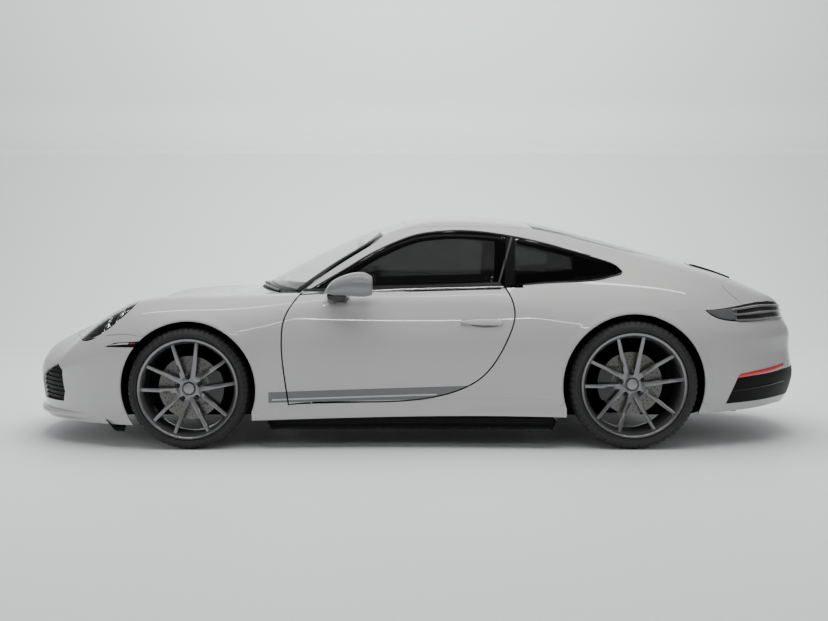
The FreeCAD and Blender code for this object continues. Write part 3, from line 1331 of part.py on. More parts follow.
def front_seats():
    seats = []
    for y in (-SEAT_Y, SEAT_Y):
        w = SEAT_W / 2
        cushion = box(SEAT_X, SEAT_X + 520, y - w, y + w, FLOOR_Z + FLOOR_WALL + SEAT,
                      CUSHION_Z)
        cushion = cushion.makeFillet(34, cushion.Edges)
        lines = [(SEAT_X + 430, CUSHION_Z - 60), (SEAT_X + 560, CUSHION_Z - 80),
                 (SEAT_X + 720, HEAD_Z - 10), (SEAT_X + 690, HEAD_Z), (SEAT_X + 628, HEAD_Z - 20)]
        back = plate(lines, y - w, y + w)
        narrow = [V(-500, y - w, 0), V(-500, y + w, 0), V(-500, y + w, HEAD_Z - 330),
                  V(-500, y + 130, HEAD_Z - 170), V(-500, y + 110, HEAD_Z + 10),
                  V(-500, y - 110, HEAD_Z + 10), V(-500, y - 130, HEAD_Z - 170),
                  V(-500, y - w, HEAD_Z - 330)]
        outline = Part.Face(Part.makePolygon(narrow + narrow[:1])).extrude(V(2000, 0, 0))
        seats.append(cushion.fuse(back.common(outline)))
    return Part.makeCompound(seats)


def rear_seats():
    """Two small seats formed over the step in the bulkhead."""
    low, end = STEP_Z + SEAT, STEP_X - SEAT
    lines = [(REAR_ARCH_START - 20, low), (end, low), (end + 115, low + 314), (end + 40, low + 330),
             (end - 76, low + 70), (REAR_ARCH_START + 10, low + 56), (REAR_ARCH_START - 20, low + 40)]
    seats = []
    for y in (-REAR_SEAT_Y, REAR_SEAT_Y):
        seats.append(plate(lines, y - REAR_SEAT_W / 2, y + REAR_SEAT_W / 2))
    return Part.makeCompound(seats)


def dashboard():
    """The dash, with the hood over the dials."""
    lines = [(DASH_X, 640), (DASH_X, SCUTTLE_TOP - 30), (DASH_X + 60, SCUTTLE_TOP - 4),
             (DASH_X + 260, SCUTTLE_TOP - 6), (DASH_X + 400, SCUTTLE_TOP - 50),
             (DASH_X + 410, SCUTTLE_TOP - 90), (DASH_X + 340, 700), (DASH_X + 300, 560),
             (DASH_X + 120, 520)]
    dash = plate(lines, -DASH_Y, DASH_Y)
    hood = box(DASH_X + 300, DASH_X + 450, -DRIVER_Y - 190, -DRIVER_Y + 190,
               SCUTTLE_TOP - 60, SCUTTLE_TOP + 16)
    hood = hood.makeFillet(14, hood.Edges)
    return dash.fuse(hood).cut(column(COLUMN_R + PIN_FIT))


def column(radius):
    """A round bar on the steering wheel's axis, ahead of its hub and on into the dash."""
    lean = radians(COLUMN_LEAN)
    along = V(-cos(lean), 0, -sin(lean))
    return disc(V(*WHEEL_AT) + along * 24, along, radius, COLUMN + radius - COLUMN_R)


def console():
    """The centre console over the tunnel, with its lever."""
    low = TUNNEL_Z + SEAT
    base = plate([(DASH_X + 330, low), (SEAT_X + 420, low), (SEAT_X + 420, low + 110),
                  (SEAT_X + 60, low + 110), (SEAT_X - 60, low + 60), (DASH_X + 300, low + 180)],
                 -105, 105)
    lever = disc(V(SEAT_X - 90, 0, low + 40), V(0.1, 0, 1), 10, 110)
    knob = Part.makeSphere(24, V(SEAT_X - 78, 0, low + 160))
    return base.fuse([lever, knob])


def steering_wheel():
    """The rim, three spokes and the hub, on a column that leans back to the driver."""
    rim_ring = Part.makeTorus(WHEEL_R, 15)
    hub = disc(V(0, 0, -24), V(0, 0, 1), 62, 34)
    spokes = [box(0, WHEEL_R, -20, 20, -10, 2), box(-WHEEL_R, 0, -20, 20, -10, 2),
              box(-18, 18, -WHEEL_R, 0, -10, 2)]
    wheel = hub.fuse([rim_ring] + spokes)
    turn = FreeCAD.Rotation(V(0, 0, 1), 90)
    lean = FreeCAD.Rotation(V(0, 1, 0), 90 - COLUMN_LEAN)
    wheel.Placement = FreeCAD.Placement(V(*WHEEL_AT), lean.multiply(turn))
    return wheel.fuse(column(COLUMN_R))


def mirror_housing():
    """The mirror's rounded housing, cut flat behind for its glass, and its foot on the door."""
    shape = Part.makeSphere(1.0)
    scale = FreeCAD.Matrix()
    scale.scale(130, 86, 66)
    shape = shape.transformGeometry(scale)
    shape.translate(V(station(-352), 936, level(910)))
    shape = shape.cut(box(station(-262), station(0), 700, 1100, level(700), level(1100)))
    foot = plate([(station(-492), level(862)), (station(-452), level(880)),
                  (station(-330), level(880)), (station(-372), level(806)),
                  (station(-440), level(806))], MIRROR_ROOT, 930)
    return largest(shape.fuse(foot).cut(door_block()).cut(door_glass_block()))


def handle():
    """The flush pull, a thin bar along the door's skin."""
    rows = side_rows(200, 530, 8, 24, 44, 8, low_distance)
    outer = [[p + normal(p, low_distance) * HANDLE_PROUD for p in row] for row in rows]
    bar = wall(outer, HANDLE_PROUD + 4, low_distance)
    region = [[(256, 690), (470, 684)], [(470, 684), (480, 700)], [(480, 700), (470, 716)],
              [(470, 716), (256, 716)], [(256, 716), (246, 703)], [(246, 703), (256, 690)]]
    return bar.common(side_prism(region))


def side_marker():
    rows = side_rows(-1760, -1440, 8, 0, 40, 8, low_distance)
    return wall(rows, BUMPER_WALL, low_distance).common(marker_outline(-SEAM)).cut(arch(True))


def marker_outline(grow):
    return side_prism([[(-1712, 565), (-1652, 591)], [(-1652, 591), (-1480, 601)],
                       [(-1480, 601), (-1480, 565)], [(-1480, 565), (-1712, 565)]], grow)


def intake_grilles():
    """The slatted panels in the three openings of the front bumper: ribs on a plain back."""
    rows = end_rows(FRONT_AXLE_X, -1, 76, 38, 130, 690, 18)
    inner = [[p - normal(p, low_distance) * GRILLE_SET for p in row] for row in rows]
    panel = wall(inner, GRILLE_WALL, low_distance)
    ribs = wall(inner, GRILLE_WALL - GRILLE_BACK, low_distance)
    solids = []
    for outline in (SIDE_INTAKE, [(-y, z) for y, z in SIDE_INTAKE], CENTRE_INTAKE):
        piece = panel.common(front_view(outline, NOSE_X - 50, NOSE_X + 500, -SEAM))
        low, high = (f(z for _, z in outline) for f in (min, max))
        y0, y1 = (f(y for y, _ in outline) for f in (min, max))
        slots = []
        for k in range(int((high - low) / GRILLE_PITCH)):
            z = level(low) + (k + 0.5) * GRILLE_PITCH
            slots.append(box(NOSE_X - 50, NOSE_X + 500, width(y0) - 5, width(y1) + 5,
                             z - GRILLE_SLOT / 2, z + GRILLE_SLOT / 2).common(ribs))
        solids.append(piece.cut(slots))
    return Part.makeCompound(solids)


def wipers():
    """Two arms that lie low on the screen, hung from the cowl."""
    rows = top_rows(-960, -560, 12, 660, 660, 16)
    lift = [[p + normal(p, body_distance) * (WIPER_LIFT + WIPER_T) for p in row] for row in rows]
    sheet = wall(lift, WIPER_LIFT + WIPER_T - WIPER_REST, body_distance)
    strips = []
    for x0, y0, x1, y1 in WIPER_LINES:
        a, b = V(station(x0), width(y0), 0), V(station(x1), width(y1), 0)
        wide = (b - a).normalize().cross(V(0, 0, 1)) * WIPER_W / 2
        corners = [a - wide, b - wide, b + wide, a + wide]
        blade = Part.Face(Part.makePolygon(corners + corners[:1])).extrude(V(0, 0, 1500))
        strips.append(sheet.common(blade))
    return Part.makeCompound(strips)


def inside_mirror():
    """The mirror behind the windscreen, on its stalk from the glass."""
    x, z = station(-330), level(1120)
    under = hit(V(x - 15, 0, z), V(0, 0, 1), 300,
                lambda a, b, c: cabin_distance(a, b, c) + GLASS + 2 * SEAT)
    body_shape = box(x - 20, x + 14, -125, 125, z - 34, z + 34)
    body_shape = body_shape.makeFillet(12, body_shape.Edges)
    stalk = disc(V(x - 6, 0, z), V(0, 0, 1), 9, under.z - z)
    return body_shape.fuse(stalk)


@cache
def sill_shape():
    return sill()


@cache
def door_block():
    """The whole door: its panel with the pockets and eyes of its two hinges."""
    panel = door()
    for z in HINGE_HEIGHTS:
        panel = panel.cut(hinge_pocket(z))
    for z in HINGE_HEIGHTS:
        panel = panel.fuse(hinge_leaf(z))
    return panel.fuse(handle())


@cache
def door_glass_block():
    return largest(door_glass())


def largest(shape):
    return max(shape.Solids, key=lambda q: q.Volume)

NODES = {
    "front_wings": lambda: both(front_wing()),
    "bonnet": bonnet,
    "front_bumper": front_bumper,
    "quarter_panels": lambda: both(quarter()),
    "roof_rails": lambda: both(rail()),
    "sills": lambda: both(sill_shape()),
    "door_right": door_block,
    "door_left": lambda: mirrored(door_block()),
    "roof": roof,
    "windscreen": windscreen,
    "rear_window": rear_window,
    "rear_bumper": rear_bumper,
    "rear_insert": rear_insert,
    "tail_lamp_bar": lamp_bar,
    "spoiler": spoiler,
    "engine_lid": engine_lid,
    "door_glass_right": door_glass_block,
    "door_glass_left": lambda: mirrored(door_glass_block()),
    "quarter_glass": lambda: both(quarter_glass()),
    "pillar_covers": lambda: both(pillar_cover()),
    "headlamp_covers": lambda: both(headlamp()),
    "headlamp_cups": lambda: both(lamp_cup()),
    "cowl": cowl,
    "floor_pan": floor_pan,
    "scuttle": scuttle,
    "front_frame": lambda: front_frame().fuse(trunk_tub()),
    "rear_frame": rear_frame,
    "suspension_arms": lambda: Part.makeCompound([lower_arms(True), lower_arms(False)]),
    "rear_uprights": lambda: both(upright(False, 1)),
    "driveshafts": driveshafts,
    "engine_block": engine_block,
    "exhaust": exhaust,
    "underbody": underbody,
    "arch_liners": arch_liners,
    "rear_bulkhead": rear_bulkhead,
    "front_seats": front_seats,
    "rear_seats": rear_seats,
    "dashboard": lambda: dashboard().fuse(console()),
    "steering_wheel": steering_wheel,
    "mirror_right": mirror_housing,
    "mirror_left": lambda: mirrored(mirror_housing()),
    "side_markers": lambda: both(side_marker()),
    "intake_grilles": intake_grilles,
    "wipers": wipers,
    "inside_mirror": inside_mirror,
}
for word, side in (("left", -1), ("right", 1)):
    NODES["front_tyre_" + word] = lambda side=side: placed(
        tyre(FRONT_TYRE_RADIUS, FRONT_RIM_RADIUS, FRONT_TYRE_WIDTH), FRONT_AXLE, side)
    NODES["rear_tyre_" + word] = lambda side=side: placed(
        tyre(REAR_TYRE_RADIUS, REAR_RIM_RADIUS, REAR_TYRE_WIDTH), REAR_AXLE, side)
    NODES["front_rim_" + word] = lambda side=side: placed(
        rim(FRONT_RIM_RADIUS, FRONT_TYRE_WIDTH, FRONT_FACE), FRONT_AXLE, side)
    NODES["rear_rim_" + word] = lambda side=side: placed(
        rim(REAR_RIM_RADIUS, REAR_TYRE_WIDTH, REAR_FACE), REAR_AXLE, side)
    NODES["front_disc_" + word] = lambda side=side: placed(
        brake_disc(FRONT_DISC, FRONT_FACE), FRONT_AXLE, side)
    NODES["rear_disc_" + word] = lambda side=side: placed(
        brake_disc(REAR_DISC, REAR_FACE), REAR_AXLE, side)
    NODES["front_upright_" + word] = lambda side=side: upright(True, side)

for name, make in NODES.items():
    make().exportStep("parts/%s.step" % name)
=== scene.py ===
"""The looks of a light grey rear-engined sports coupe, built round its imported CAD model.

Formulas for the body work in millimetres, and meshes are made in metres. The nose points to -X,
+Z is up and the car's left side is at -Y.
"""

from math import cos, radians, sin

import bmesh
import bpy
import numpy as np
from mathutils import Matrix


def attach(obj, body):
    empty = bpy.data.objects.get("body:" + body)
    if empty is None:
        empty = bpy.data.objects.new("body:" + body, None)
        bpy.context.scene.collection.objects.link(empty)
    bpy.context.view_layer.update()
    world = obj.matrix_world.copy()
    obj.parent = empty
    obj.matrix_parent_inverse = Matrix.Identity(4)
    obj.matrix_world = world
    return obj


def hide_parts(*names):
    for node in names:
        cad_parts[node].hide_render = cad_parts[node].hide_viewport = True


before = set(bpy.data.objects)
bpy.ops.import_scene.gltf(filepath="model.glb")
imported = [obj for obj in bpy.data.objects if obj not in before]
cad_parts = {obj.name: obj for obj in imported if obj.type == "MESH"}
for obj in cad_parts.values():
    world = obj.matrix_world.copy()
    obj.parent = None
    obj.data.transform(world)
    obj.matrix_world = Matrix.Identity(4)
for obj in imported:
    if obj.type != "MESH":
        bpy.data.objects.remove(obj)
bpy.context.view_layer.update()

# Centres of the right wheels; their heights are the tyres' radii
FRONT_AXLE = np.array([-1249.5, 790.0, 334.0])
REAR_AXLE = np.array([1200.5, 766.0, 354.0])
TAIL_CENTRE = 1260.0
BELT_HEIGHT = 860.0
LINING_DEPTH = 24.0


# The master body surface, by the same formulas as the CAD source
class Curve:
    """A natural cubic spline through (place, value) pairs, level past its ends."""

    def __init__(self, pairs):
        self.x = np.array([p[0] for p in pairs], float)
        self.y = np.array([p[1] for p in pairs], float)
        n = len(pairs)
        h = np.diff(self.x)
        system = np.eye(n)
        rise = np.zeros(n)
        for i in range(1, n - 1):
            system[i, i - 1:i + 2] = h[i - 1], 2 * (h[i - 1] + h[i]), h[i]
            slopes = np.diff(self.y)[i - 1:i + 1] / h[i - 1:i + 1]
            rise[i] = 6 * (slopes[1] - slopes[0])
        self.m = np.linalg.solve(system, rise)

    def __call__(self, x):
        """Each stretch is a straight line plus the cubic bend of its ends' second slopes."""
        x = np.clip(x, self.x[0], self.x[-1])
        k = np.clip(np.searchsorted(self.x, x, side="right") - 1, 0, len(self.x) - 2)
        h = self.x[k + 1] - self.x[k]
        b = (x - self.x[k]) / h
        a = 1 - b
        bend = ((a ** 3 - a) * self.m[k] + (b ** 3 - b) * self.m[k + 1]) * h * h / 6
        return a * self.y[k] + b * self.y[k + 1] + bend


half_width = Curve([(-1250, 921), (-1000, 915), (-800, 899), (-500, 886), (0, 881), (400, 886),
                    (700, 899), (950, 916), (1200, 926)])
bonnet_line = Curve([(-2245, 428), (-2203, 478), (-2134, 536), (-2041, 588), (-1936, 640),
                     (-1750, 706), (-1500, 766), (-1250, 808), (-1000, 846), (-850, 866),
                     (-500, 880), (0, 880), (800, 880), (1500, 800), (2200, 640)])
crest_line = Curve([(-2245, 330), (-2150, 420), (-2041, 498), (-1936, 573), (-1850, 640),
                    (-1794, 684), (-1713, 737), (-1643, 777), (-1574, 805), (-1422, 830),
                    (-1283, 839), (-1049, 842), (-875, 846), (-652, 854), (-200, 872),
                    (186, 882), (472, 896), (801, 917), (1062, 928), (1300, 926), (1500, 910),
                    (1700, 874), (1845, 832), (1960, 806), (2050, 788), (2150, 758), (2230, 716)])
crest_blend = Curve([(-2200, 90), (-1900, 150), (-1600, 210), (-1250, 235), (-900, 170),
                     (-600, 76), (0, 60), (400, 76), (900, 220), (1250, 290), (1700, 250),
                     (2000, 140), (2240, 90)])
upper_inset = Curve([(-1900, 30), (-1250, 45), (-700, 62), (-300, 68), (300, 68), (700, 60),
                     (1200, 40), (1800, 30)])
lower_inset = Curve([(-2000, 60), (-1500, 30), (-900, 26), (-400, 34), (200, 34), (700, 20),
                     (1200, 16), (1800, 40)])
roof_line = Curve([(-1900, 300), (-1300, 660), (-1050, 803), (-897, 890), (-660, 1020),
                   (-542, 1080), (-394, 1146), (-217, 1216), (-64, 1262), (60, 1284),
                   (207, 1293), (418, 1286), (631, 1262), (898, 1206), (1150, 1139),
                   (1300, 1098), (1509, 1039), (1663, 997), (1760, 968), (1957, 886),
                   (2049, 846), (2144, 799), (2230, 742)])
cabin_base = Curve([(-900, 700), (-600, 732), (-300, 746), (0, 752), (300, 752), (600, 742),
                    (900, 718), (1200, 680), (1500, 630), (1800, 570), (2200, 500)])
base_blend = Curve([(-1000, 30), (-700, 24), (0, 24), (400, 40), (700, 110), (1000, 170),
                    (1300, 220), (1600, 220), (1900, 130), (2060, 60), (2200, 40)])
wrap_line = Curve([(-1000, 78), (-650, 74), (-400, 54), (-170, 36), (0, 20), (250, 0)])
crown_line = Curve([(-1000, 0), (-350, 3), (-100, 9), (150, 15), (600, 16), (1200, 14),
                    (1700, 10), (2200, 8)])
nose_reach = Curve([(80, 952), (150, 976), (230, 986), (320, 994), (400, 998), (440, 999),
                    (520, 995), (620, 982), (760, 950)])
tail_reach = Curve([(150, 965), (190, 988), (230, 1020), (290, 1044), (350, 1059), (420, 1054),
                    (500, 1040), (560, 1038), (620, 1040), (668, 1022), (706, 1000), (762, 972),
                    (800, 950)])


def smooth_max(a, b, k):
    """The larger of two distances, rounded over where they differ by less than k."""
    h = np.maximum(k - np.abs(a - b), 0)
    return np.maximum(a, b) + h * h / (4 * k)


def ease(t):
    """0 below 0, 1 above 1 and t * t * (3 - 2 * t) between."""
    t = np.clip(t, 0, 1)
    return t * t * (3 - 2 * t)


def side_y(x, z):
    """Half-width of the lower body: full from 500 to 560 mm up, drawn in above and below with
    the square of the distance, and out again along the sill between the wheels."""
    up = np.maximum(0, z - 560) / 280
    down = np.maximum(0, 500 - z) / 300
    inset = upper_inset(x) * up * up + lower_inset(x) * down * down
    between_wheels = ease((x + 1050) / 250) * ease((980 - x) / 250)
    sill_flare = 16 * between_wheels * ease((260 - z) / 90)
    return half_width(x) - inset + sill_flare


def plan_distance(x, y, z):
    """Distance outside the plan outline: straight sides and superellipse ends."""
    w = side_y(x, z)
    front = np.maximum(FRONT_AXLE[0] - x, 0) / nose_reach(z)
    rear = np.maximum(x - REAR_AXLE[0], 0) / tail_reach(z)
    t = np.maximum(front, rear)
    n = np.where(x < 0, 2.5, 2.4)
    ends = ((t ** n + (np.abs(y) / w) ** n) ** (1 / n) - 1) * w
    return np.where(t > 0, ends, y - w)


def low_top(x, y):
    """Bonnet valley, a smooth step up to the wing's crest, then a square fall to the side."""
    valley_edge, crest, side_fall = 260, 660, 60
    rise = ease((y - valley_edge) / (crest - valley_edge))
    out = np.maximum(0, y - crest) / 266
    middle = bonnet_line(x)
    return middle + (crest_line(x) - middle) * rise - side_fall * out * out


def cabin_side(x, z):
    """Half-width of the cabin, tilted and curved inward from the belt up; the tilt sets in
    softly, by a hyperbola."""
    tilt, curve, onset = 0.47, 0.00036, 70
    up = z - BELT_HEIGHT
    soft = 0.5 * (up + np.sqrt(up * up + onset ** 2)) - onset / 2
    return cabin_base(x) - tilt * soft - curve * soft * soft


def low_distance(p):
    """The lower body: negative inside."""
    x, y, z = p[..., 0], np.abs(p[..., 1]), p[..., 2]
    return smooth_max(plan_distance(x, y, z), z - low_top(x, y), crest_blend(x))


def cabin_distance(p):
    """The cabin with the sloping tail: negative inside."""
    x, y, z = p[..., 0], np.abs(p[..., 1]), p[..., 2]
    across = y * y * 1e-5
    top = roof_line(x - wrap_line(x) * across) - crown_line(x) * across
    cabin = smooth_max(y - cabin_side(x, z), z - top, 105)
    return smooth_max(cabin, plan_distance(x, y, np.minimum(z, 720)), 70)


def body_distance(p):
    """Both, flowing into each other."""
    return -smooth_max(-low_distance(p), -cabin_distance(p), base_blend(p[..., 0]))


def gradient(p, field):
    """A field's slope per millimetre, by central differences of 1 mm."""
    return np.stack([field(p + s) - field(p - s) for s in np.eye(3)], axis=-1) / 2


def outward(p, field):
    """Unit normals of a field."""
    g = gradient(p, field)
    return g / np.linalg.norm(g, axis=-1, keepdims=True)


def settled(p, field, level=0.0):
    """Points moved in four steps along the field's gradient, to lie the given distance outside
    it; the least squared slope keeps a step short where the field is flat."""
    least_square = 0.04
    for _ in range(4):
        g = gradient(p, field)
        size = np.sum(g * g, axis=-1, keepdims=True)
        p = p - (field(p) - level)[..., None] * g / np.maximum(size, least_square)
    return p


def surface_along(ray, field, level, low, far):
    """Points where rays leave a level of a field: each ray's stretch is halved 30 times."""
    high = np.full_like(low, far)
    for _ in range(30):
        middle = (low + high) / 2
        inside = field(ray(middle)) < level
        low = np.where(inside, middle, low)
        high = np.where(inside, high, middle)
    return ray(low)


def on_side(x, z, field, level=0.0):
    """Points on the left side of the car at given places seen from the side."""
    def ray(y):
        return together(x, y, z)
    return surface_along(ray, field, level, np.zeros_like(x, dtype=float), 1000.0) * (1, -1, 1)


def together(*coordinates):
    """Coordinates, each an array or one value for all, as an array of points."""
    return np.stack(np.broadcast_arrays(*coordinates), -1)


def left_of(line):
    """Unit vectors square to a flat line, on its left as it runs."""
    way = np.gradient(line, axis=0)
    way /= np.linalg.norm(way, axis=1, keepdims=True)
    return together(-way[:, 1], way[:, 0])


# Making meshes
def in_scene(name, data):
    """A new object at the origin, linked to the scene."""
    made = bpy.data.objects.new(name, data)
    bpy.context.scene.collection.objects.link(made)
    return made


def mesh_object(name, verts, faces):
    """A smooth object at the origin from vertices in millimetres."""
    mesh = bpy.data.meshes.new(name)
    mesh.from_pydata((np.asarray(verts, float) / 1000).tolist(), [], faces)
    mesh.update()
    mesh.shade_smooth()
    return in_scene(name, mesh)


def values(items, key, width=1, kind=float):
    """One property of all vertices, corners or faces of a mesh, as an array."""
    out = np.empty(len(items) * width, kind)
    items.foreach_get(key, out)
    return out.reshape(-1, width) if width > 1 else out


def grid_faces(rows, columns, round_rows=False, round_columns=False):
    """Quads over a grid of vertices, closed round either way."""
    i = np.arange(rows if round_rows else rows - 1)[:, None]
    j = np.arange(columns if round_columns else columns - 1)[None, :]
    i2, j2 = (i + 1) % rows, (j + 1) % columns
    quads = together(i * columns + j, i2 * columns + j, i2 * columns + j2, i * columns + j2)
    return quads.reshape(-1, 4)


def outwards(thing):
    """Doubles merged and faces turned outward."""
    made = bmesh.new()
    made.from_mesh(thing.data)
    bmesh.ops.remove_doubles(made, verts=made.verts, dist=1e-6)
    bmesh.ops.recalc_face_normals(made, faces=made.faces)
    made.to_mesh(thing.data)
    made.free()
    return thing


def grid(name, points, round_rows=False, round_columns=False):
    """A surface through a grid of points in millimetres."""
    rows, columns = points.shape[:2]
    faces = grid_faces(rows, columns, round_rows, round_columns)
    return outwards(mesh_object(name, points.reshape(-1, 3), faces.tolist()))


def capped(name, points):
    """A closed form through rings of points, whose first and last ring draw in to their middle."""
    points[0], points[-1] = points[0].mean(0), points[-1].mean(0)
    return grid(name, points, False, True)


def circle(count):
    """Even angles once round."""
    return np.linspace(0, 2 * np.pi, count, endpoint=False)


def lathe(name, profile, centre, count, shift):
    """A closed (radius, y) profile turned about a wheel's axis; shift moves points outward by
    a function of radius, y and angle."""
    angle = circle(count)[:, None]
    radius, y = np.array(profile, float).T
    radius = radius + shift(radius, y, angle)
    points = together(radius * np.cos(angle), y, radius * np.sin(angle))
    return grid(name, points + centre, True, True)


def joined(name, things):
    """Several objects as one."""
    verts, faces, start = [], [], 0
    for thing in things:
        verts += [tuple(v.co * 1000) for v in thing.data.vertices]
        faces += [[start + k for k in f.vertices] for f in thing.data.polygons]
        start = len(verts)
        bpy.data.objects.remove(thing)
    return mesh_object(name, verts, faces)


def mirrored(thing):
    """The mesh moved to the other side of the car, its faces still outward."""
    co = values(thing.data.vertices, "co", 3) * (1, -1, 1)
    thing.data.vertices.foreach_set("co", co.ravel())
    thing.data.flip_normals()
    thing.data.update()
    return thing


def dress(thing, finish, body="chassis"):
    """A finish, and the body that carries the piece."""
    thing.data.materials.clear()
    thing.data.materials.append(finish)
    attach(thing, body)
    return thing


def merged(node, flat_angle=None):
    """A copy of a CAD node's mesh with its doubles merged, and with its flat faces joined where
    an angle is given."""
    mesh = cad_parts[node].data.copy()
    made = bmesh.new()
    made.from_mesh(mesh)
    bmesh.ops.remove_doubles(made, verts=made.verts, dist=2e-5)
    if flat_angle:
        bmesh.ops.dissolve_limit(made, angle_limit=flat_angle, verts=made.verts, edges=made.edges)
    made.to_mesh(mesh)
    made.free()
    return mesh


def skin(node, field, finish, body, reach=3.5, lining=None):
    """A merged copy of a CAD panel. Vertices within reach of the body's surface that look
    outward are settled on it. Outer faces take that surface's normals and inner faces the same
    turned round, so that reflections run on over the seams. Faces that look inward or lie deep
    get the lining."""
    mesh = merged(node)
    co = values(mesh.vertices, "co", 3) * 1000
    facing = np.sum(values(mesh.vertices, "normal", 3) * outward(co, field), axis=1)
    near = (np.abs(field(co)) < reach) & (facing > 0.15)
    co[near] = settled(co[near], field)
    mesh.vertices.foreach_set("co", (co / 1000).ravel())
    mesh.update()
    mesh.shade_smooth()
    vertex = values(mesh.loops, "vertex_index", kind=np.int32)
    totals = values(mesh.polygons, "loop_total", kind=np.int32)
    face_of = np.repeat(np.arange(len(totals)), totals)
    flat = values(mesh.polygons, "normal", 3)[face_of]
    normals = outward(co, field)[vertex]
    along = np.sum(flat * normals, axis=1)

    def on_all(test):
        """Marks the corners of each face whose corners all pass a test."""
        passed = np.ones(len(totals), bool)
        np.logical_and.at(passed, face_of, test)
        return passed[face_of][:, None]

    outer = on_all(near[vertex] & (along > 0.5))
    inner = on_all(along < -0.9)
    final = np.where(outer, normals, np.where(inner, -normals, flat))
    mesh.normals_split_custom_set(final.tolist())
    panel = dress(in_scene(node + "_skin", mesh), finish, body)
    if lining:
        mesh.materials.append(lining)
        depth = np.zeros(len(totals))
        np.add.at(depth, face_of, field(co)[vertex])
        turned_in = depth / totals < -LINING_DEPTH
        np.logical_or.at(turned_in, face_of, along < -0.2)
        mesh.polygons.foreach_set("material_index", turned_in.astype(np.int32))
    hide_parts(node)


# Finishes
class Value:
    """A shader socket that can be written in an expression."""

    def __init__(self, finish, socket):
        self.finish, self.socket = finish, socket

    def __add__(self, other):
        return self.finish.math("ADD", self, other)

    def __sub__(self, other):
        return self.finish.math("SUBTRACT", self, other)

    def __rsub__(self, other):
        return self.finish.math("SUBTRACT", other, self)

    def __mul__(self, other):
        return self.finish.math("MULTIPLY", self, other)

    __radd__ = __add__
    __rmul__ = __mul__


class Finish:
    """A material with one main shader; varying values are fed to its sockets by name."""

    def __init__(self, name, color, **sockets):
        self.material = bpy.data.materials.new(name)
        self.material.use_nodes = True
        self.tree = self.material.node_tree
        self.shader = self.tree.nodes["Principled BSDF"]
        self.feed("Base Color", (*color, 1.0))
        self.material.diffuse_color = (*color, 1.0)
        for key, value in sockets.items():
            self.feed(key.replace("_", " ").title().replace("Ior", "IOR"), value)
        self.object_place = None

    def feed(self, socket, value, shader=None):
        """A constant set on a socket, or a value linked to it."""
        target = (shader or self.shader).inputs[socket]
        if isinstance(value, Value):
            self.tree.links.new(value.socket, target)
        else:
            target.default_value = value

    def node(self, kind, settings, sockets, output=0):
        """Any node: its settings first, then the values or links of its sockets."""
        made = self.tree.nodes.new(kind)
        for key, value in settings.items():
            if key == "stops":
                for stop, (position, color) in zip(made.color_ramp.elements, value):
                    stop.position = position
                    stop.color = (*color, 1.0)
            else:
                setattr(made, key, value)
        for key, value in sockets.items():
            self.feed(key, value, made)
        return Value(self, made.outputs[output])

    def math(self, operation, *terms):
        """One Math node on values or numbers."""
        return self.node("ShaderNodeMath", {"operation": operation}, dict(enumerate(terms)))

    def place(self):
        """Where on the piece a point lies, in metres."""
        if self.object_place is None:
            self.object_place = self.node("ShaderNodeTexCoord", {}, {}, "Object")
        return self.object_place

    def axes(self):
        """The piece's own x, y and z, each as a value."""
        return [self.node("ShaderNodeSeparateXYZ", {}, {"Vector": self.place()}, k)
                for k in range(3)]

    def noise(self, scale, detail=2.0):
        """Clouds from 0 to 1."""
        return self.node("ShaderNodeTexNoise", {}, {
            "Vector": self.place(), "Scale": scale, "Detail": detail}, "Fac")

    def cells(self, scale):
        """Distance to the nearest of many scattered points."""
        return self.node("ShaderNodeTexVoronoi", {}, {
            "Vector": self.place(), "Scale": scale}, "Distance")

    def step(self, value, low, high):
        """Smoothly from 0 to 1 as the value goes from low to high."""
        return self.node("ShaderNodeMapRange", {"interpolation_type": "SMOOTHSTEP"}, {
            "Value": value, "From Min": low, "From Max": high})

    def mix(self, share, first, second):
        """One colour turning into another."""
        made = self.tree.nodes.new("ShaderNodeMix")
        made.data_type = "RGBA"
        for key, value in ((0, share), (6, first), (7, second)):
            if isinstance(value, Value):
                self.tree.links.new(value.socket, made.inputs[key])
            else:
                made.inputs[key].default_value = value if key == 0 else (*value, 1.0)
        return Value(self, made.outputs[2])

    def bump(self, height, strength, distance):
        """Relief on the whole finish."""
        self.feed("Normal", self.node("ShaderNodeBump", {}, {
            "Height": height, "Strength": strength, "Distance": distance}, "Normal"))


def grained(name, color, roughness, grain=900.0, strength=0.25, **sockets):
    """Moulded plastic: a fine grain, and roughness and colour that drift a little."""
    finish = Finish(name, color, **sockets)
    drift = finish.noise(6.0)
    finish.feed("Roughness", drift * 0.12 + (roughness - 0.06))
    lighter = tuple(c * 1.25 + 0.001 for c in color)
    finish.feed("Base Color", finish.mix(drift, color, lighter))
    finish.bump(finish.cells(grain), strength, 0.0003)
    return finish.material


def metal(name, color, roughness, metallic=1.0, **sockets):
    """Cast or lacquered metal: cloudy roughness and a faint unevenness."""
    finish = Finish(name, color, metallic=metallic, **sockets)
    cloud = finish.noise(14.0, 4.0)
    finish.feed("Roughness", cloud * 0.14 + (roughness - 0.07))
    finish.bump(finish.noise(700.0), 0.06, 0.0002)
    return finish.material


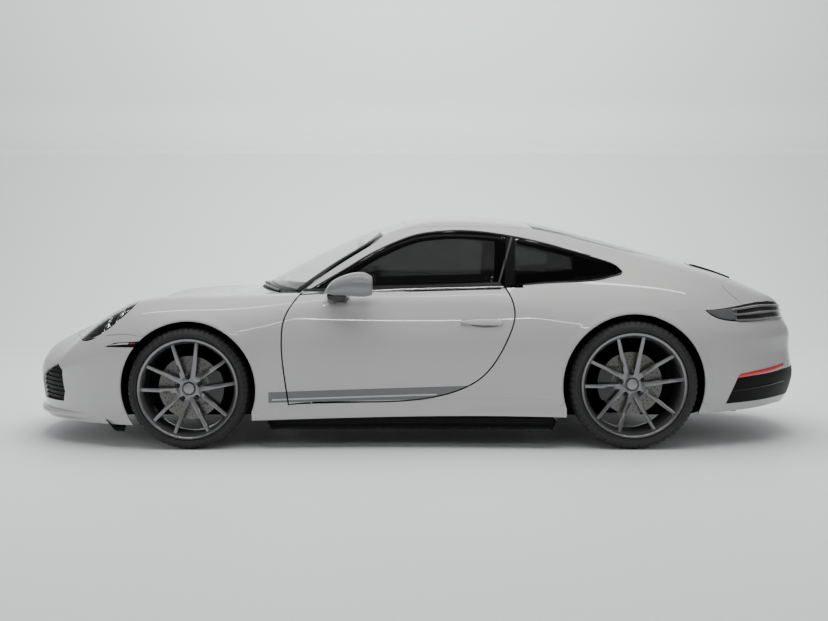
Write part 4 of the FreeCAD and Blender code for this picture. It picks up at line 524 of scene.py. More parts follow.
def body_paint(name, stripe):
    """Solid light grey under clear coat; on the door and wing a dark stripe with a light line.
    The stripe lies between two straight lines that climb to the rear, each edge a smooth step."""
    color, dark, light = (0.365, 0.367, 0.36), (0.07, 0.076, 0.077), (0.36, 0.37, 0.37)
    rough, soft = 0.42, 0.0006
    finish = Finish(name, color, roughness=rough, coat_weight=1.0, coat_roughness=0.02,
                    coat_IOR=1.5)
    cloud = finish.noise(3.0)
    base = finish.mix(cloud, color, tuple(c * 0.985 for c in color))
    if stripe:
        x, _, z = finish.axes()
        top = x * 0.0313 + (0.317 + 0.808 * 0.0313)
        foot = x * 0.02 + (0.257 + 0.803 * 0.02)
        drop = top - z
        inside = finish.step(z - foot, -soft, soft) * finish.step(drop, -soft, soft)
        inside = inside * finish.step(x, -0.8085, -0.8065)
        line = finish.step(drop, 0.0395, 0.0405) * finish.step(0.0485 - drop, 0.0, 0.001)
        line = line * finish.step(x, -0.79, -0.788) * finish.step(0.118 - x, 0.0, 0.002)
        base = finish.mix(inside, base, finish.mix(line, dark, light))
        finish.feed("Roughness", inside * -0.05 + rough)
    finish.feed("Base Color", base)
    finish.bump(finish.noise(160.0, 1.0), 0.015, 0.0004)
    return finish.material


def pane(name, color, specular=0.5):
    """Clear or tinted glass, with a very slight haze that drifts over it."""
    finish = Finish(name, color, IOR=1.45, transmission_weight=1.0,
                    specular_IOR_level=specular)
    finish.feed("Roughness", finish.noise(4.0) * 0.012)
    return finish.material


def rubber(name):
    """Tyre rubber: dull black, drifting by noise between two near-blacks, with a fine grain."""
    finish = Finish(name, (0.018, 0.018, 0.019))
    dust = finish.noise(9.0, 5.0)
    finish.feed("Base Color", finish.mix(dust, (0.012, 0.012, 0.0125), (0.026, 0.0255, 0.0255)))
    finish.feed("Roughness", dust * 0.2 + 0.6)
    finish.bump(finish.noise(500.0), 0.2, 0.0004)
    return finish.material


def drilled(name, centre):
    """A machined disc: a sine of the radius for the tool's rings, and rows of drilled holes painted
    as near-black spots of shade, whose places repeat with the angle round the axle."""
    finish = Finish(name, (0.42, 0.42, 0.42), metallic=0.85)
    x, _, z = finish.axes()
    dx, dz = x - centre[0] / 1000, z - centre[2] / 1000
    radius = finish.math("SQRT", dx * dx + dz * dz)
    angle = finish.math("ARCTAN2", dz, dx)
    step_angle = 6.2832 / 30
    hole_shade = None
    for ring, turn in ((0.118, 0.0), (0.135, 0.33), (0.152, 0.66)):
        wave = finish.math("FRACT", angle * (1 / step_angle) + turn) - 0.5
        across = wave * (step_angle * ring)
        out = radius - ring
        near = finish.math("SQRT", across * across + out * out)
        one_hole_shade = 1 - finish.step(near, 0.0032, 0.0042)
        hole_shade = one_hole_shade if hole_shade is None else finish.math("MAXIMUM", hole_shade, one_hole_shade)
    rings = finish.math("SINE", radius * 9000)
    # Painted shade: each hole is a near-black, unmetallic spot, not a cut
    finish.feed("Base Color", finish.mix(hole_shade, (0.16, 0.158, 0.15), (0.006, 0.006, 0.006)))
    finish.feed("Metallic", 0.85 - hole_shade * 0.85)
    finish.feed("Roughness", rings * 0.05 + 0.3)
    return finish.material


def leather(name, color):
    """Fine creased grain with a soft sheen."""
    finish = Finish(name, color)
    drift = finish.noise(7.0)
    finish.feed("Base Color", finish.mix(drift, color, tuple(c * 1.5 for c in color)))
    finish.feed("Roughness", drift * 0.15 + 0.42)
    finish.bump(finish.cells(260.0), 0.35, 0.0005)
    return finish.material


paint = body_paint("solid_grey_paint", False)
striped_paint = body_paint("striped_grey_paint", True)
black_plastic = grained("satin_black_plastic", (0.003, 0.003, 0.003), 0.5,
                        specular_IOR_level=0.12)
gloss_black = grained("gloss_black_trim", (0.008, 0.008, 0.008), 0.12, strength=0.02)
structure_paint = grained("underseal", (0.008, 0.008, 0.009), 0.7, specular_IOR_level=0.2)
clear_glass = pane("screen_glass", (0.945, 0.99, 0.965))
dark_glass = pane("side_glass", (0.125, 0.128, 0.125), specular=0.05)
rear_glass = pane("rear_glass", (0.14, 0.15, 0.15), specular=0.3)
lamp_glass = pane("lamp_cover", (0.97, 0.98, 0.98))
lamp_body = grained("smoked_lamp_body", (0.004, 0.004, 0.004), 0.2, strength=0.01)
slat_black = grained("slat_black", (0.006, 0.006, 0.006), 0.55, specular_IOR_level=0.15)
frit = grained("black_glass_edge", (0.001, 0.001, 0.001), 0.15, strength=0.0,
               specular_IOR_level=0.05)
dark_chrome = metal("dark_chrome", (0.55, 0.55, 0.56), 0.15)
pillar_grey = grained("pillar_grey", (0.035, 0.035, 0.037), 0.55, strength=0.05,
                      specular_IOR_level=0.2)
shade = grained("recess_shade", (0.11, 0.11, 0.11), 0.6)
bare_rubber = grained("seal_rubber", (0.01, 0.01, 0.01), 0.6)
lamp_light = grained("lamp_light_guide", (0.75, 0.77, 0.78), 0.15, strength=0.02, coat_weight=1.0)
marker_clear = grained("marker_lens", (0.34, 0.35, 0.36), 0.15, strength=0.02, coat_weight=1.0)
marker_tint = grained("marker_red_lens", (0.16, 0.02, 0.02), 0.2, strength=0.02, coat_weight=1.0)
lamp_grey = grained("grey_lamp_fin", (0.085, 0.083, 0.083), 0.15, strength=0.01, coat_weight=1.0)
clear_tip = grained("grey_lamp_lens", (0.06, 0.061, 0.063), 0.12, strength=0.01, coat_weight=1.0)
reflector_red = grained("reflector_red", (0.42, 0.015, 0.012), 0.18, strength=0.05,
                        coat_weight=1.0)
wheel_lacquer = metal("wheel_lacquer", (0.2, 0.2, 0.205), 0.3, 0.85, coat_weight=0.4,
                      coat_roughness=0.15)
cast_metal = metal("cast_alloy", (0.34, 0.34, 0.35), 0.5)
bright_metal = metal("bright_metal", (0.72, 0.72, 0.73), 0.16)
steel = metal("steel_pipe", (0.42, 0.42, 0.42), 0.35)
caliper_paint = grained("caliper_black", (0.007, 0.007, 0.0075), 0.3, strength=0.05,
                        coat_weight=0.5)
tyre_rubber = rubber("tyre_rubber")
front_disc_finish = drilled("front_disc_face", FRONT_AXLE)
rear_disc_finish = drilled("rear_disc_face", REAR_AXLE)
black_leather = leather("black_leather", (0.02, 0.02, 0.021))
soft_trim = grained("soft_trim", (0.02, 0.02, 0.022), 0.6, grain=500.0, strength=0.4)
mirror_paint = grained("mirror_grey", (0.14, 0.14, 0.143), 0.3, strength=0.0, coat_weight=1.0)

# CAD nodes that stay, with their finishes
plain_nodes = {
    black_plastic: ["cowl", "headlamp_cups", "arch_liners", "side_markers", "inside_mirror",
                    "rear_insert", "intake_grilles", "pillar_covers"],
    slat_black: ["engine_lid"],
    structure_paint: ["floor_pan", "scuttle", "front_frame", "rear_frame", "rear_bulkhead"],
    cast_metal: ["suspension_arms", "engine_block"],
    caliper_paint: ["rear_uprights", "front_upright_left", "front_upright_right"],
    steel: ["driveshafts", "exhaust"],
    soft_trim: ["dashboard"],
    black_leather: ["steering_wheel"],
    lamp_glass: ["headlamp_covers"],
    front_disc_finish: ["front_disc_left", "front_disc_right"],
    rear_disc_finish: ["rear_disc_left", "rear_disc_right"],
}
for finish, names in plain_nodes.items():
    for name in names:
        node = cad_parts[name]
        node.data.materials.clear()
        node.data.materials.append(finish)

# The painted panels, on the master surface
for name, field, reach in (
        ("front_bumper", low_distance, 18), ("front_wings", body_distance, 5),
        ("bonnet", body_distance, 3.5), ("quarter_panels", body_distance, 6),
        ("roof_rails", cabin_distance, 4), ("roof", cabin_distance, 4),
        ("sills", low_distance, 8), ("rear_bumper", body_distance, 14),
        ("spoiler", body_distance, 12)):
    finish = striped_paint if name == "front_wings" else paint
    body = "bonnet" if name == "bonnet" else "chassis"
    lining = soft_trim if name in ("quarter_panels", "roof_rails", "roof") else None
    skin(name, field, finish, body, reach, lining)
for word in ("left", "right"):
    skin("door_" + word, low_distance, striped_paint, "door_" + word, 4, soft_trim)
skin("tail_lamp_bar", body_distance, lamp_body, "chassis", 8)


# Tyres
TREAD_BLOCKS = 66


def tread(radius, half):
    """Presses a row of cuts into each shoulder; each fades by a smooth step at its sides and
    at its ends."""
    def shift(r, y, angle):
        place = np.mod(angle * TREAD_BLOCKS / (2 * np.pi) + 0.18 * np.sign(y), 1.0)
        cut = ease((0.16 - np.abs(place - 0.5)) / 0.08)
        edge = ease((np.abs(y) - half * 0.42) / 6) * ease((r - radius + 34) / 10)
        return -6.5 * cut * edge
    return shift


def tyre(end, word, axle, rim, width):
    """Tread with four grooves, rounded shoulders, a bulged sidewall with a rim guard, and beads,
    as one profile turned about the axle."""
    radius = axle[2]
    h = width / 2
    middle = (radius + rim) / 2
    outside = [(rim + 13.9, h - 20), (rim + 20, h - 13), (rim + 27, h - 11), (rim + 30, h - 6),
               (middle - 4, h - 1), (middle + 6, h - 0.5), (radius - 26, h - 6),
               (radius - 14, h - 14), (radius - 6, h - 26), (radius - 1.5, h - 42)]
    grooves = []
    for y in (0.52, 0.18, -0.18, -0.52):
        g = y * h
        grooves += [(radius - 0.4, g + 6.5), (radius - 7.5, g + 5), (radius - 7.5, g - 5),
                    (radius - 0.4, g - 6.5)]
    inside = [(r, -y) for r, y in reversed(outside)]
    back = [(rim + 26, 34 - h), (radius - 16, 46 - h), (radius - 16, h - 46), (rim + 26, h - 34)]
    made = lathe("%s_tyre_rubber_%s" % (end, word), outside + grooves + inside + back, axle,
                 6 * TREAD_BLOCKS, tread(radius, h))
    if word == "left":
        mirrored(made)
    dress(made, tyre_rubber, "%s_wheel_%s" % (end, word))
    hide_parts("%s_tyre_%s" % (end, word))


for word in ("left", "right"):
    tyre("front", word, FRONT_AXLE, 268, 240)
    tyre("rear", word, REAR_AXLE, 281, 290)

# Lines seen from the side, as in the CAD source
BELT = [(-640, 850), (-500, 857), (-197, 869), (186, 879), (497, 890)]
GLASS_TOP = [(-600, 862), (-363, 1001), (-255, 1066), (-119, 1131), (-6, 1172), (124, 1193),
             (255, 1199), (384, 1191), (547, 1167), (709, 1133), (933, 1072), (1048, 1038),
             (1134, 1001), (1158, 972)]
RAIL = [(-172, 512), (200, 520), (480, 512), (670, 494)]
GLASS_FOOT = [(497, 894), (801, 919), (1062, 941), (1119, 955), (1158, 972)]
LAMP_TOP = Curve([(1597, 765), (1800, 782), (2016, 797), (2122, 788), (2240, 780)])
LAMP_FOOT = Curve([(1597, 765), (1674, 716), (1733, 704), (1972, 698), (2240, 694)])


def rounded(line, count=70):
    """A smooth curve through the points of a line, at even steps."""
    line = np.asarray(line, float)
    run = np.concatenate([[0], np.cumsum(np.hypot(*np.diff(line, axis=0).T))])
    at = np.linspace(0, run[-1], count)
    return np.stack([Curve(list(zip(run, line[:, k])))(at) for k in (0, 1)], -1)


def moved(line, distance):
    """A line moved to its left as it runs."""
    return line + distance * left_of(line)


def section(across, proud, sunk, fall=0.25):
    """Shares across a strip and its heights: out of the skin by a power of a sine, and back
    under the skin."""
    s = np.linspace(0, 1, across)
    share = np.concatenate([s, s[-2:0:-1]])
    dome = np.sin(np.pi * s).clip(0, 1) ** fall
    return share, np.concatenate([(proud + 0.8) * dome - 0.8, np.full(across - 2, -sunk)])


def strip(name, low, high, field, proud, sunk=2.5, across=9, heights=None):
    """A closed strip over the left side's skin between two lines seen from the side."""
    share, rise = section(across, proud, sunk)
    if heights is not None:
        rise = np.concatenate([heights, np.full(len(rise) - len(heights), -sunk)])
    share = share[:, None]
    flat = low[:, None] * (1 - share) + high[:, None] * share
    points = on_side(flat[..., 0], flat[..., 1], field, rise)
    return capped(name, points)


def round_end(angle, z, field, level, front):
    """Points round the nose or the tail, at angles from straight ahead or back; left is plus."""
    x0, way = (FRONT_AXLE[0], -1) if front else (TAIL_CENTRE, 1)
    across, along = -np.sin(angle), way * np.cos(angle)

    def ray(run):
        return together(x0 + along * run, across * run, z)
    return surface_along(ray, field, level, np.zeros_like(z, dtype=float), 1400.0)


def both_sides(thing, finish, body="chassis"):
    """The piece dressed on the left, and its mirror image on the right; each door has its own."""
    other = mirrored(in_scene(thing.name + "_right", thing.data.copy()))
    thing.name += "_left"
    for piece, word in ((thing, "_left"), (other, "_right")):
        dress(piece, finish, body + word if body == "door" else body)


def turned(name, profile, centre, axis, count=40, closed=False):
    """A (radius, along) profile turned about any axis; radius 0 closes an end."""
    axis = np.array(axis, float) / np.linalg.norm(axis)
    side = np.cross(axis, (0.0, 0.05, 1.0))
    side /= np.linalg.norm(side)
    up = np.cross(side, axis)
    angle = circle(count)[:, None, None]
    radius, along = np.array(profile, float).T[:, None, :, None]
    points = centre + radius * (np.cos(angle) * side + np.sin(angle) * up) + along * axis
    return grid(name, points, True, closed)


def low_under(p):
    """The lower body's field, with its foot carried straight down."""
    return low_distance(np.stack([p[..., 0], p[..., 1], np.maximum(p[..., 2], 190)], -1))



# Side windows: black edges on the glass, the seals round it and the strip along the belt
def door_seam(low, high, count=40):
    """The straight, slightly leaning seam behind a door's window, between two heights."""
    upright = np.linspace(low, high, count)
    return together(497 + (upright - 894) * 0.054, upright)


belt_at = np.array(BELT, float)
foot_at = np.array(GLASS_FOOT, float)
top = rounded(GLASS_TOP, 220)
door_top = top[top[:, 0] < 500]
inner = moved(door_top, -40)
inner[:, 1] = np.maximum(inner[:, 1], np.interp(inner[:, 0], *belt_at.T) + 4)
inner[:, 0] = np.minimum(inner[:, 0], 500)
both_sides(strip("door_glass_edge", inner, moved(door_top, -2), cabin_distance, 0.5),
           frit, "door")
seam = door_seam(896, 1168)
both_sides(strip("door_glass_rear_edge", seam - (62, 0), seam - (1, 0), cabin_distance, 0.5),
           frit, "door")

# The strip that leans across the door's seam is in two parts, which the seam cuts
for name, low, high, body in (("pillar_strip_foot", 893, 1053, "door"),
                              ("pillar_strip_head", 1004, 1172, "chassis")):
    edge, upright = door_seam(low, high).T
    lean = 460 + (upright - 893) * 0.32
    left, right = lean - 7, lean + 7
    if body == "door":
        right = np.minimum(right, edge - 1.5)
    else:
        left = np.maximum(left, edge + 1.5)
    both_sides(strip(name, together(left, upright), together(right, upright), cabin_distance, 1.4),
               pillar_grey, body)
seam = door_seam(858, 1170, 44)
both_sides(strip("window_post", seam - (16, 0), seam + (18, 0), cabin_distance, -11, 15, 5),
           slat_black)
quarter_top = top[top[:, 0] > 572]
inner = moved(quarter_top, -34)
above_foot = np.interp(inner[:, 0], *foot_at.T) + 3
inner[:, 1] = np.where(inner[:, 0] > 880, above_foot, np.maximum(inner[:, 1], above_foot))
both_sides(strip("quarter_glass_edge", inner, moved(quarter_top, -1), cabin_distance, 0.5),
           frit)
quarter_foot = rounded([(556, 900), (801, 920), (900, 928)], 40)
both_sides(strip("quarter_glass_foot_edge", quarter_foot, quarter_foot + (0, 62), cabin_distance,
                 0.4), frit)
seal = rounded([(-640, 838)] + GLASS_TOP[:-1], 160)
both_sides(strip("window_seal", moved(seal, -1), moved(seal, 9), cabin_distance, 2.0), bare_rubber)
belt = rounded(BELT, 90)
both_sides(strip("belt_strip", belt + (0, -2), belt + (0, 10), body_distance, 2.6), dark_chrome,
           "door")
belt = belt[belt[:, 0] < 492]
both_sides(strip("belt_lining", belt + (0, -10), belt + (0, 12), body_distance, -3.2, 8),
           bare_rubber, "door")
both_sides(strip("belt_seal", belt + (0, 8), belt + (0, 27), body_distance, 0.8, 6), bare_rubber,
           "door")
tip = rounded(GLASS_FOOT + [(1150, 990)], 90)
tip = tip[tip[:, 0] > 600]
both_sides(strip("quarter_window_seal", tip + (0, -7), tip + (0, 2), body_distance, 1.8),
           bare_rubber)

# Door handle: a pull bar, with its shadow painted on the door under it as a dark grey strip
along = np.linspace(246, 480, 50)
t = (along - 246) / 234
half = 19 * (1 - np.abs(2 * t - 1) ** 7) ** 0.5 * (0.4 + 0.6 * ease(t * 2.2))
middle = 703 - 3 * t
both_sides(strip("door_handle", together(along, middle - half), together(along, middle + half),
                 low_distance, 15, across=13), paint, "door")
# Painted shadow under the bar: a dark grey strip on the door that reaches lower where the scoop is
# deepest
shadow_reach = np.sin(np.pi * ((along - 300) / 160).clip(0, 1)) ** 0.6
both_sides(strip("handle_painted_shadow", together(along, middle - 17 - 13 * shadow_reach)[12:-5],
                 together(along, middle - 15)[12:-5], low_distance, 1.0), shade, "door")

# Soft flares round the arches, in the body's colour, 38.5 mm outside the tyres
flare = 3.4 * (1 - ease(np.linspace(0, 1, 11))) - 0.6
flare[0] = -0.8
for name, axle, first, last in (("front_arch_flare", FRONT_AXLE, -19, 131),
                                ("nose_arch_flare", FRONT_AXLE, 147, 201),
                                ("rear_arch_flare", REAR_AXLE, -16, 196)):
    angle = np.radians(np.linspace(first, last, 110))
    way = together(np.cos(angle), np.sin(angle))
    middle, radius = axle[[0, 2]], axle[2] + 38.5
    both_sides(strip(name, middle + way * radius, middle + way * (radius + 62), body_distance, 3,
                     across=11, heights=flare), paint)

# Black panels that close the floor's edge under the sills; their black also stands in for the shade
# under the car
run = np.linspace(-820, 780, 60)
both_sides(strip("under_sill", together(run, 112), together(run, 186), low_under, -48, 58, 7),
           slat_black)

# A black flap before each front wheel
run = np.linspace(-1722, -1606, 40)
flap_foot = 96 + 60 * ease((-1650 - run) / 80)
both_sides(strip("front_flap", together(run, flap_foot), together(run, 200), low_under, -34, 44, 7),
           slat_black)


# The tray under the floor, in two parts; behind the axle it rises to the tail
def tray(name, first, last, climb):
    """A thin closed slab across the car; its height rises by a smooth step along it."""
    x = np.linspace(first, last, 60)[:, None]
    y = np.linspace(-520, 520, 31)
    thick = np.repeat([0.0, 6.0], 31) + 0 * x
    thick[0], thick[-1] = 3, 3
    z = 140 + thick + climb * ease((x - 1540) / 340)
    return grid(name, together(x, np.concatenate([y, y[::-1]]), z), False, True)


for name, first, last, climb in (("front_tray", -1930, 1100, 0), ("rear_tray", 1301, 1920, 85)):
    dress(tray(name, first, last, climb), slat_black)
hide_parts("underbody")

# The rear arches' inner walls, round the arms and the shaft, cut level above the ground
angle = circle(120)[:, None]
edge = np.minimum(408, 189 / np.maximum(-np.sin(angle), 0.1))
radius = np.where([False, True, True, False], edge, 150)
ring = together(radius * np.cos(angle), [-604, -604, -608, -608], radius * np.sin(angle))
both_sides(grid("rear_arch_wall", ring + REAR_AXLE * (1, 0, 1), True, True), black_plastic)


# Mirrors
def mirror_side():
    """Sections across a housing: top, foot and half-width run along it as smooth curves, and
    behind its edge they step in to the glass."""
    high = Curve([(-494, 872), (-474, 904), (-425, 945), (-360, 970), (-304, 979), (-262, 972),
                  (-238, 958)])
    low = Curve([(-494, 870), (-474, 860), (-400, 851), (-320, 846), (-262, 847), (-238, 853)])
    half = Curve([(-494, 2), (-474, 42), (-425, 66), (-360, 80), (-300, 86), (-238, 84)])
    x = np.append(-494 + 256 * np.linspace(0, 1, 50) ** 1.6, [-235, -235, -240, -256, -256])
    scale = np.append(np.ones(50), [0.97, 0.93, 0.90, 0.89, 0.0])[:, None]
    at = np.minimum(x, -238)
    wide, tall = [np.sign(f) * np.abs(f) ** 0.8 for f in (np.cos(circle(64)), np.sin(circle(64)))]
    top, foot = high(at)[:, None], low(at)[:, None]
    points = together(x[:, None], -936 + half(at)[:, None] * scale * wide,
                      (top + foot) / 2 + (top - foot) / 2 * scale * tall)
    face = points[-2:-1] * (0, 1, 1) + (-253, 0, 0)
    glass = np.concatenate([face - (2, 0, 0), face - (2, 0, 0), face, face])
    share = np.append(0, np.append(np.linspace(0, 1, 16), 1))[:, None]
    grow = 1 - 0.15 * share
    arm = together(-428 + 62 * grow * wide, -790 - 140 * share, 838 + 12 * share + 30 * grow * tall)
    return (capped("mirror_housing", points), capped("mirror_face", glass),
            capped("mirror_foot", arm))


housing, mirror_face, mirror_foot = mirror_side()
both_sides(housing, mirror_paint, "door")
for word in ("left", "right"):
    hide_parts("mirror_" + word)
both_sides(mirror_face, bright_metal, "door")
both_sides(mirror_foot, gloss_black, "door")


# Screen edges, and wipers whose blades lie in the gap before the screen
def laid(name, line, half, proud, sunk, field, start=860.0):
    """A closed strip over the top of the body along a line seen from above."""
    share, rise = section(9, proud, sunk, 0.4)
    wide = half * (1 - np.abs(np.linspace(-1, 1, len(line))) ** 12) ** 0.5
    aside = (share * 2 - 1) * wide[:, None]
    flat = line[:, None] + left_of(line)[:, None] * aside[..., None]
    ground = settled(together(flat[..., 0], flat[..., 1], start), field)
    return capped(name, ground + outward(ground, field) * rise[:, None])


screen_foot = Curve([(-640, -664), (-590, -700), (-420, -800), (-200, -864), (0, -880),
                     (200, -864), (420, -800), (590, -700), (640, -664)])
y = np.linspace(-606, 606, 120)
dress(laid("screen_foot_edge", together(screen_foot(y) + 24, y), 21.0, 0.5, 2.5, body_distance),
      frit)
pillar = rounded([(-668, 846), (-444, 1003), (-282, 1103), (-186, 1178)], 90)
both_sides(strip("screen_side_edge", pillar, pillar + (-14, 21), cabin_distance, 0.5), frit)
gap = Curve([(-640, -742), (-430, -826), (-200, -889), (0, -905), (200, -889), (430, -826),
             (640, -742)])
for name, first, last in (("wiper_left", -570, -40), ("wiper_right", -10, 520)):
    y = np.linspace(first, last, 60)
    dress(laid(name, together(gap(y), y), 9.0, 16, 1.5, body_distance), gloss_black)
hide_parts("wipers")

# The seams round the roof and before the spoiler, and the fins over the engine's louvres
y = np.linspace(-505, 505, 80)
for name, middle, bow in (("roof_seam_front", -80, 26), ("roof_seam_rear", 578, 30)):
    line = together(middle + bow * (y / 480) ** 2, y)
    dress(laid(name, line, 1.8, 0.2, 1.2, cabin_distance, 1255.0), bare_rubber)
rail = rounded(RAIL, 90) * (1, -1)
both_sides(laid("roof_rail_seam", rail, 1.8, 0.2, 1.2, cabin_distance, 1225.0), bare_rubber)
line = rounded([(1866, -434), (1800, -500), (1738, -600)], 40)
both_sides(laid("spoiler_seam_top", line, 1.9, 0.2, 1.2, body_distance, 905.0), bare_rubber)
line = rounded([(1735, 898), (1756, 868), (1800, 826), (1845, 786)], 40)
both_sides(strip("spoiler_seam_side", line - (1.9, 0.9), line + (1.9, 0.9), body_distance, 0.2,
                 1.2, 5), bare_rubber)
run = np.linspace(1655, 1850, 50)
for k, y in enumerate((-371, -297, -223, -149, -75, 75, 149, 223, 297, 371)):
    fin = laid("lid_fin_%d" % k, together(run, y), 3.5, 9.0, 3.0, body_distance, 940.0)
    dress(fin, slat_black, "engine_lid")

# Headlamps: two projectors behind the cover, with four short light guides round the main one
long_way = np.array([0.80, 0.0, 0.60])
lamp_spot = settled(np.array([[-1706.0, -700.0, 700.0]]), body_distance)[0]
lamp_out = outward(lamp_spot[None], body_distance)[0]
wide_way = np.cross(lamp_out, long_way)
wide_way /= np.linalg.norm(wide_way)
lamp_face = lamp_out * 0.75 + np.array([-0.6, -0.25, 0.0])
BOWL = [(0, -26), (30, -26), (36, -8), (40, 0), (37, 3), (33, 0), (30, -8), (27, -14), (0, -14)]
LENS = [(0, -14), (26, -14), (26, -6), (24, 0), (18, 6), (9, 9.5), (0, 10.5)]
for name, along, depth in (("main_beam", 42, 46), ("low_beam", -58, 48)):
    spot = lamp_spot + long_way * along - lamp_out * depth
    for part, profile, finish in (("_bowl", BOWL, bright_metal), ("_lens", LENS, lamp_glass)):
        both_sides(turned(name + part, profile, spot, lamp_face, 56), finish)
GUIDE = [(0, -9), (6, -8), (7.5, 0), (6, 8), (0, 9)]
for k, (a, b) in enumerate(((92, 26), (92, -26), (-4, 34), (-4, -34))):
    spot = lamp_spot + long_way * a + wide_way * b - lamp_out * 24
    both_sides(turned("light_guide_%d" % k, GUIDE, spot, long_way, 24), lamp_light)

# Side markers: a light bar, and a small red part at its rear end
both_sides(strip("marker_light", rounded([(-1684, 573), (-1620, 578), (-1568, 582)], 30),
                 rounded([(-1682, 576), (-1620, 587), (-1568, 591)], 30), low_distance, 1.5),
           marker_clear)
both_sides(strip("marker_red", rounded([(-1566, 582), (-1545, 584), (-1530, 585)], 12),
                 rounded([(-1566, 590), (-1545, 592), (-1530, 593)], 12), low_distance, 1.5),
           marker_tint)


# Round the nose and the tail
def band(name, angle, low, high, field, rise, share, front):
    """A closed band round an end of the body, between two heights that may vary with angle."""
    z = low[:, None] * (1 - share) + high[:, None] * share
    return capped(name, round_end(angle[:, None], z, field, rise, front))


angle = np.radians(np.linspace(-58, 58, 120))
fade = ease((1 - np.abs(angle) / angle[-1]) * 3)
share = np.array([0, 0.12, 0.35, 0.6, 0.85, 1.0, 0.9, 0.5, 0.1])
lip = np.array([-3, 12, 22, 22, 12, -3, -8, -8, -8])
rise = lip * fade[:, None] - 3 * (1 - fade[:, None])
dress(band("front_lip", angle, 140 + 0 * angle, 188 + 0 * angle, low_distance, rise, share, True),
      paint)


def tail_z(angle, share):
    """Height of a share of the lamp bar's depth, where the bar lies at each angle."""
    x = round_end(angle, 745 + 0 * angle, body_distance, 0.0, False)[..., 0]
    return LAMP_FOOT(x) + (LAMP_TOP(x) - LAMP_FOOT(x)) * share


angle = np.radians(np.linspace(-57, 57, 150))
across, rise = section(9, 7.0, 6.0, 0.12)
for k, (low, high) in enumerate(((0.01, 0.15), (0.38, 0.52), (0.72, 0.86))):
    dress(band("tail_fin_%d" % k, angle, tail_z(angle, low), tail_z(angle, high), body_distance,
               rise, across, False), lamp_grey)
lens_foot = rounded([(1612, 756), (1674, 721), (1733, 709), (1790, 706)], 40)
lens_top = rounded([(1612, 763), (1700, 771), (1800, 779)], 40)
both_sides(strip("tail_lens_tip", lens_foot, lens_top, body_distance, 0.8), clear_tip)
both_sides(strip("rear_reflector", rounded([(1776, 386), (1900, 396), (2125, 418)], 50),
                 rounded([(1798, 411), (1900, 424), (2125, 448)], 50), body_distance, 3.0),
           reflector_red)
both_sides(strip("insert_rib", rounded([(1752, 312), (1900, 322), (2130, 338)], 50),
                 rounded([(1755, 318), (1900, 329), (2130, 346)], 50), body_distance, 3.0),
           gloss_black)
PIPE = [(45.4, -80), (49, -80), (51, -10), (50, 2), (46, 3), (42, -6), (45.4, -14)]
for word, y in (("left", -92), ("right", 92)):
    pipe = turned("tailpipe_" + word, PIPE, np.array([2226, y, 330]), (1, 0, 0), 72, True)
    dress(pipe, bright_metal)


# Wheels: rims with eased edges, bolts deep in their holes and plain centre caps
def eased(node, finish, body, width):
    """A merged copy of a CAD node whose sharp edges are rounded by a bevel of two steps."""
    mesh = merged(node, radians(1))
    mesh.shade_smooth()
    thing = in_scene(node + "_eased", mesh)
    bevel = thing.modifiers.new("edges", "BEVEL")
    bevel.width, bevel.segments = width / 1000, 2
    bevel.limit_method, bevel.angle_limit = "ANGLE", radians(35)
    bevel.harden_normals = True
    dress(thing, finish, body)
    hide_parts(node)


BOLT = [(0, -12), (10.5, -12), (10.5, -8), (9, -7), (9, 0), (7.5, 1.5), (4.5, 1.5), (4, -3),
        (0, -3)]
CAP = [(0, 3.5), (29.5, 3.5), (29.5, 5), (27, 6.5), (20, 8), (0, 9)]
for word, side in (("left", -1), ("right", 1)):
    for end, axle, face in (("front", FRONT_AXLE, 62), ("rear", REAR_AXLE, 60)):
        wheel = end + "_wheel_" + word
        eased("%s_rim_%s" % (end, word), wheel_lacquer, wheel, 1.6)
        out = np.array([0, side, 0.0])
        hub = axle * (1, side, 1) + out * face
        bolts = []
        for a in np.radians(22 + 72 * np.arange(5)):
            spot = hub - out * 8 + 65 * np.array([cos(a), 0, sin(a)])
            bolts.append(turned("bolt", BOLT, spot, out, 24))
        dress(joined(wheel + "_bolts", bolts), gloss_black, wheel)
        dress(turned(wheel + "_cap", CAP, hub, out, 60), cast_metal, wheel)


# Seats: crowned pads with sewn channels, each inside the space of its CAD solid
def pad(name, spine, half, thick, centre, seams, rows=44):
    """Superellipse sections along a spine. The ends draw in by an eighth root, side bolsters
    rise by a smooth step, and each seam is a narrow bell-shaped groove."""
    t = np.linspace(0, 1, rows)
    knots = np.linspace(0, 1, len(spine))
    place = [Curve(list(zip(knots, [p[k] for p in spine])))(t) for k in (0, 1)]
    up = left_of(np.stack(place, -1))
    close = (1 - np.abs(2 * t - 1) ** 8).clip(0, 1) ** 0.5
    wide = np.interp(t, np.linspace(0, 1, len(half)), half) * (0.9 + 0.1 * close)
    deep = np.interp(t, np.linspace(0, 1, len(thick)), thick)
    t, close, wide, deep = t[:, None], close[:, None], wide[:, None], deep[:, None]
    c, s = np.cos(circle(96)), np.sin(circle(96))
    y = wide * (np.sign(c) * np.abs(c) ** 0.5)
    lift = deep * close * (np.sign(s) * np.abs(s) ** 0.5)
    bolster = ease((np.abs(y) / wide - 0.52) / 0.3) * 0.22 - 0.2
    channels = sum(np.exp(-((t - seam) / 0.012) ** 2) for seam in seams)
    groove = channels * (np.abs(y) < 0.6 * wide) + np.exp(-((np.abs(y) - 0.6 * wide) / 5) ** 2)
    lift = np.where(lift > 0, lift * (1 + bolster) - 7 * groove * close, lift)
    thing = capped(name, together(place[0][:, None] + up[:, :1] * lift, centre + y,
                                  place[1][:, None] + up[:, 1:] * lift))
    dress(thing, black_leather)


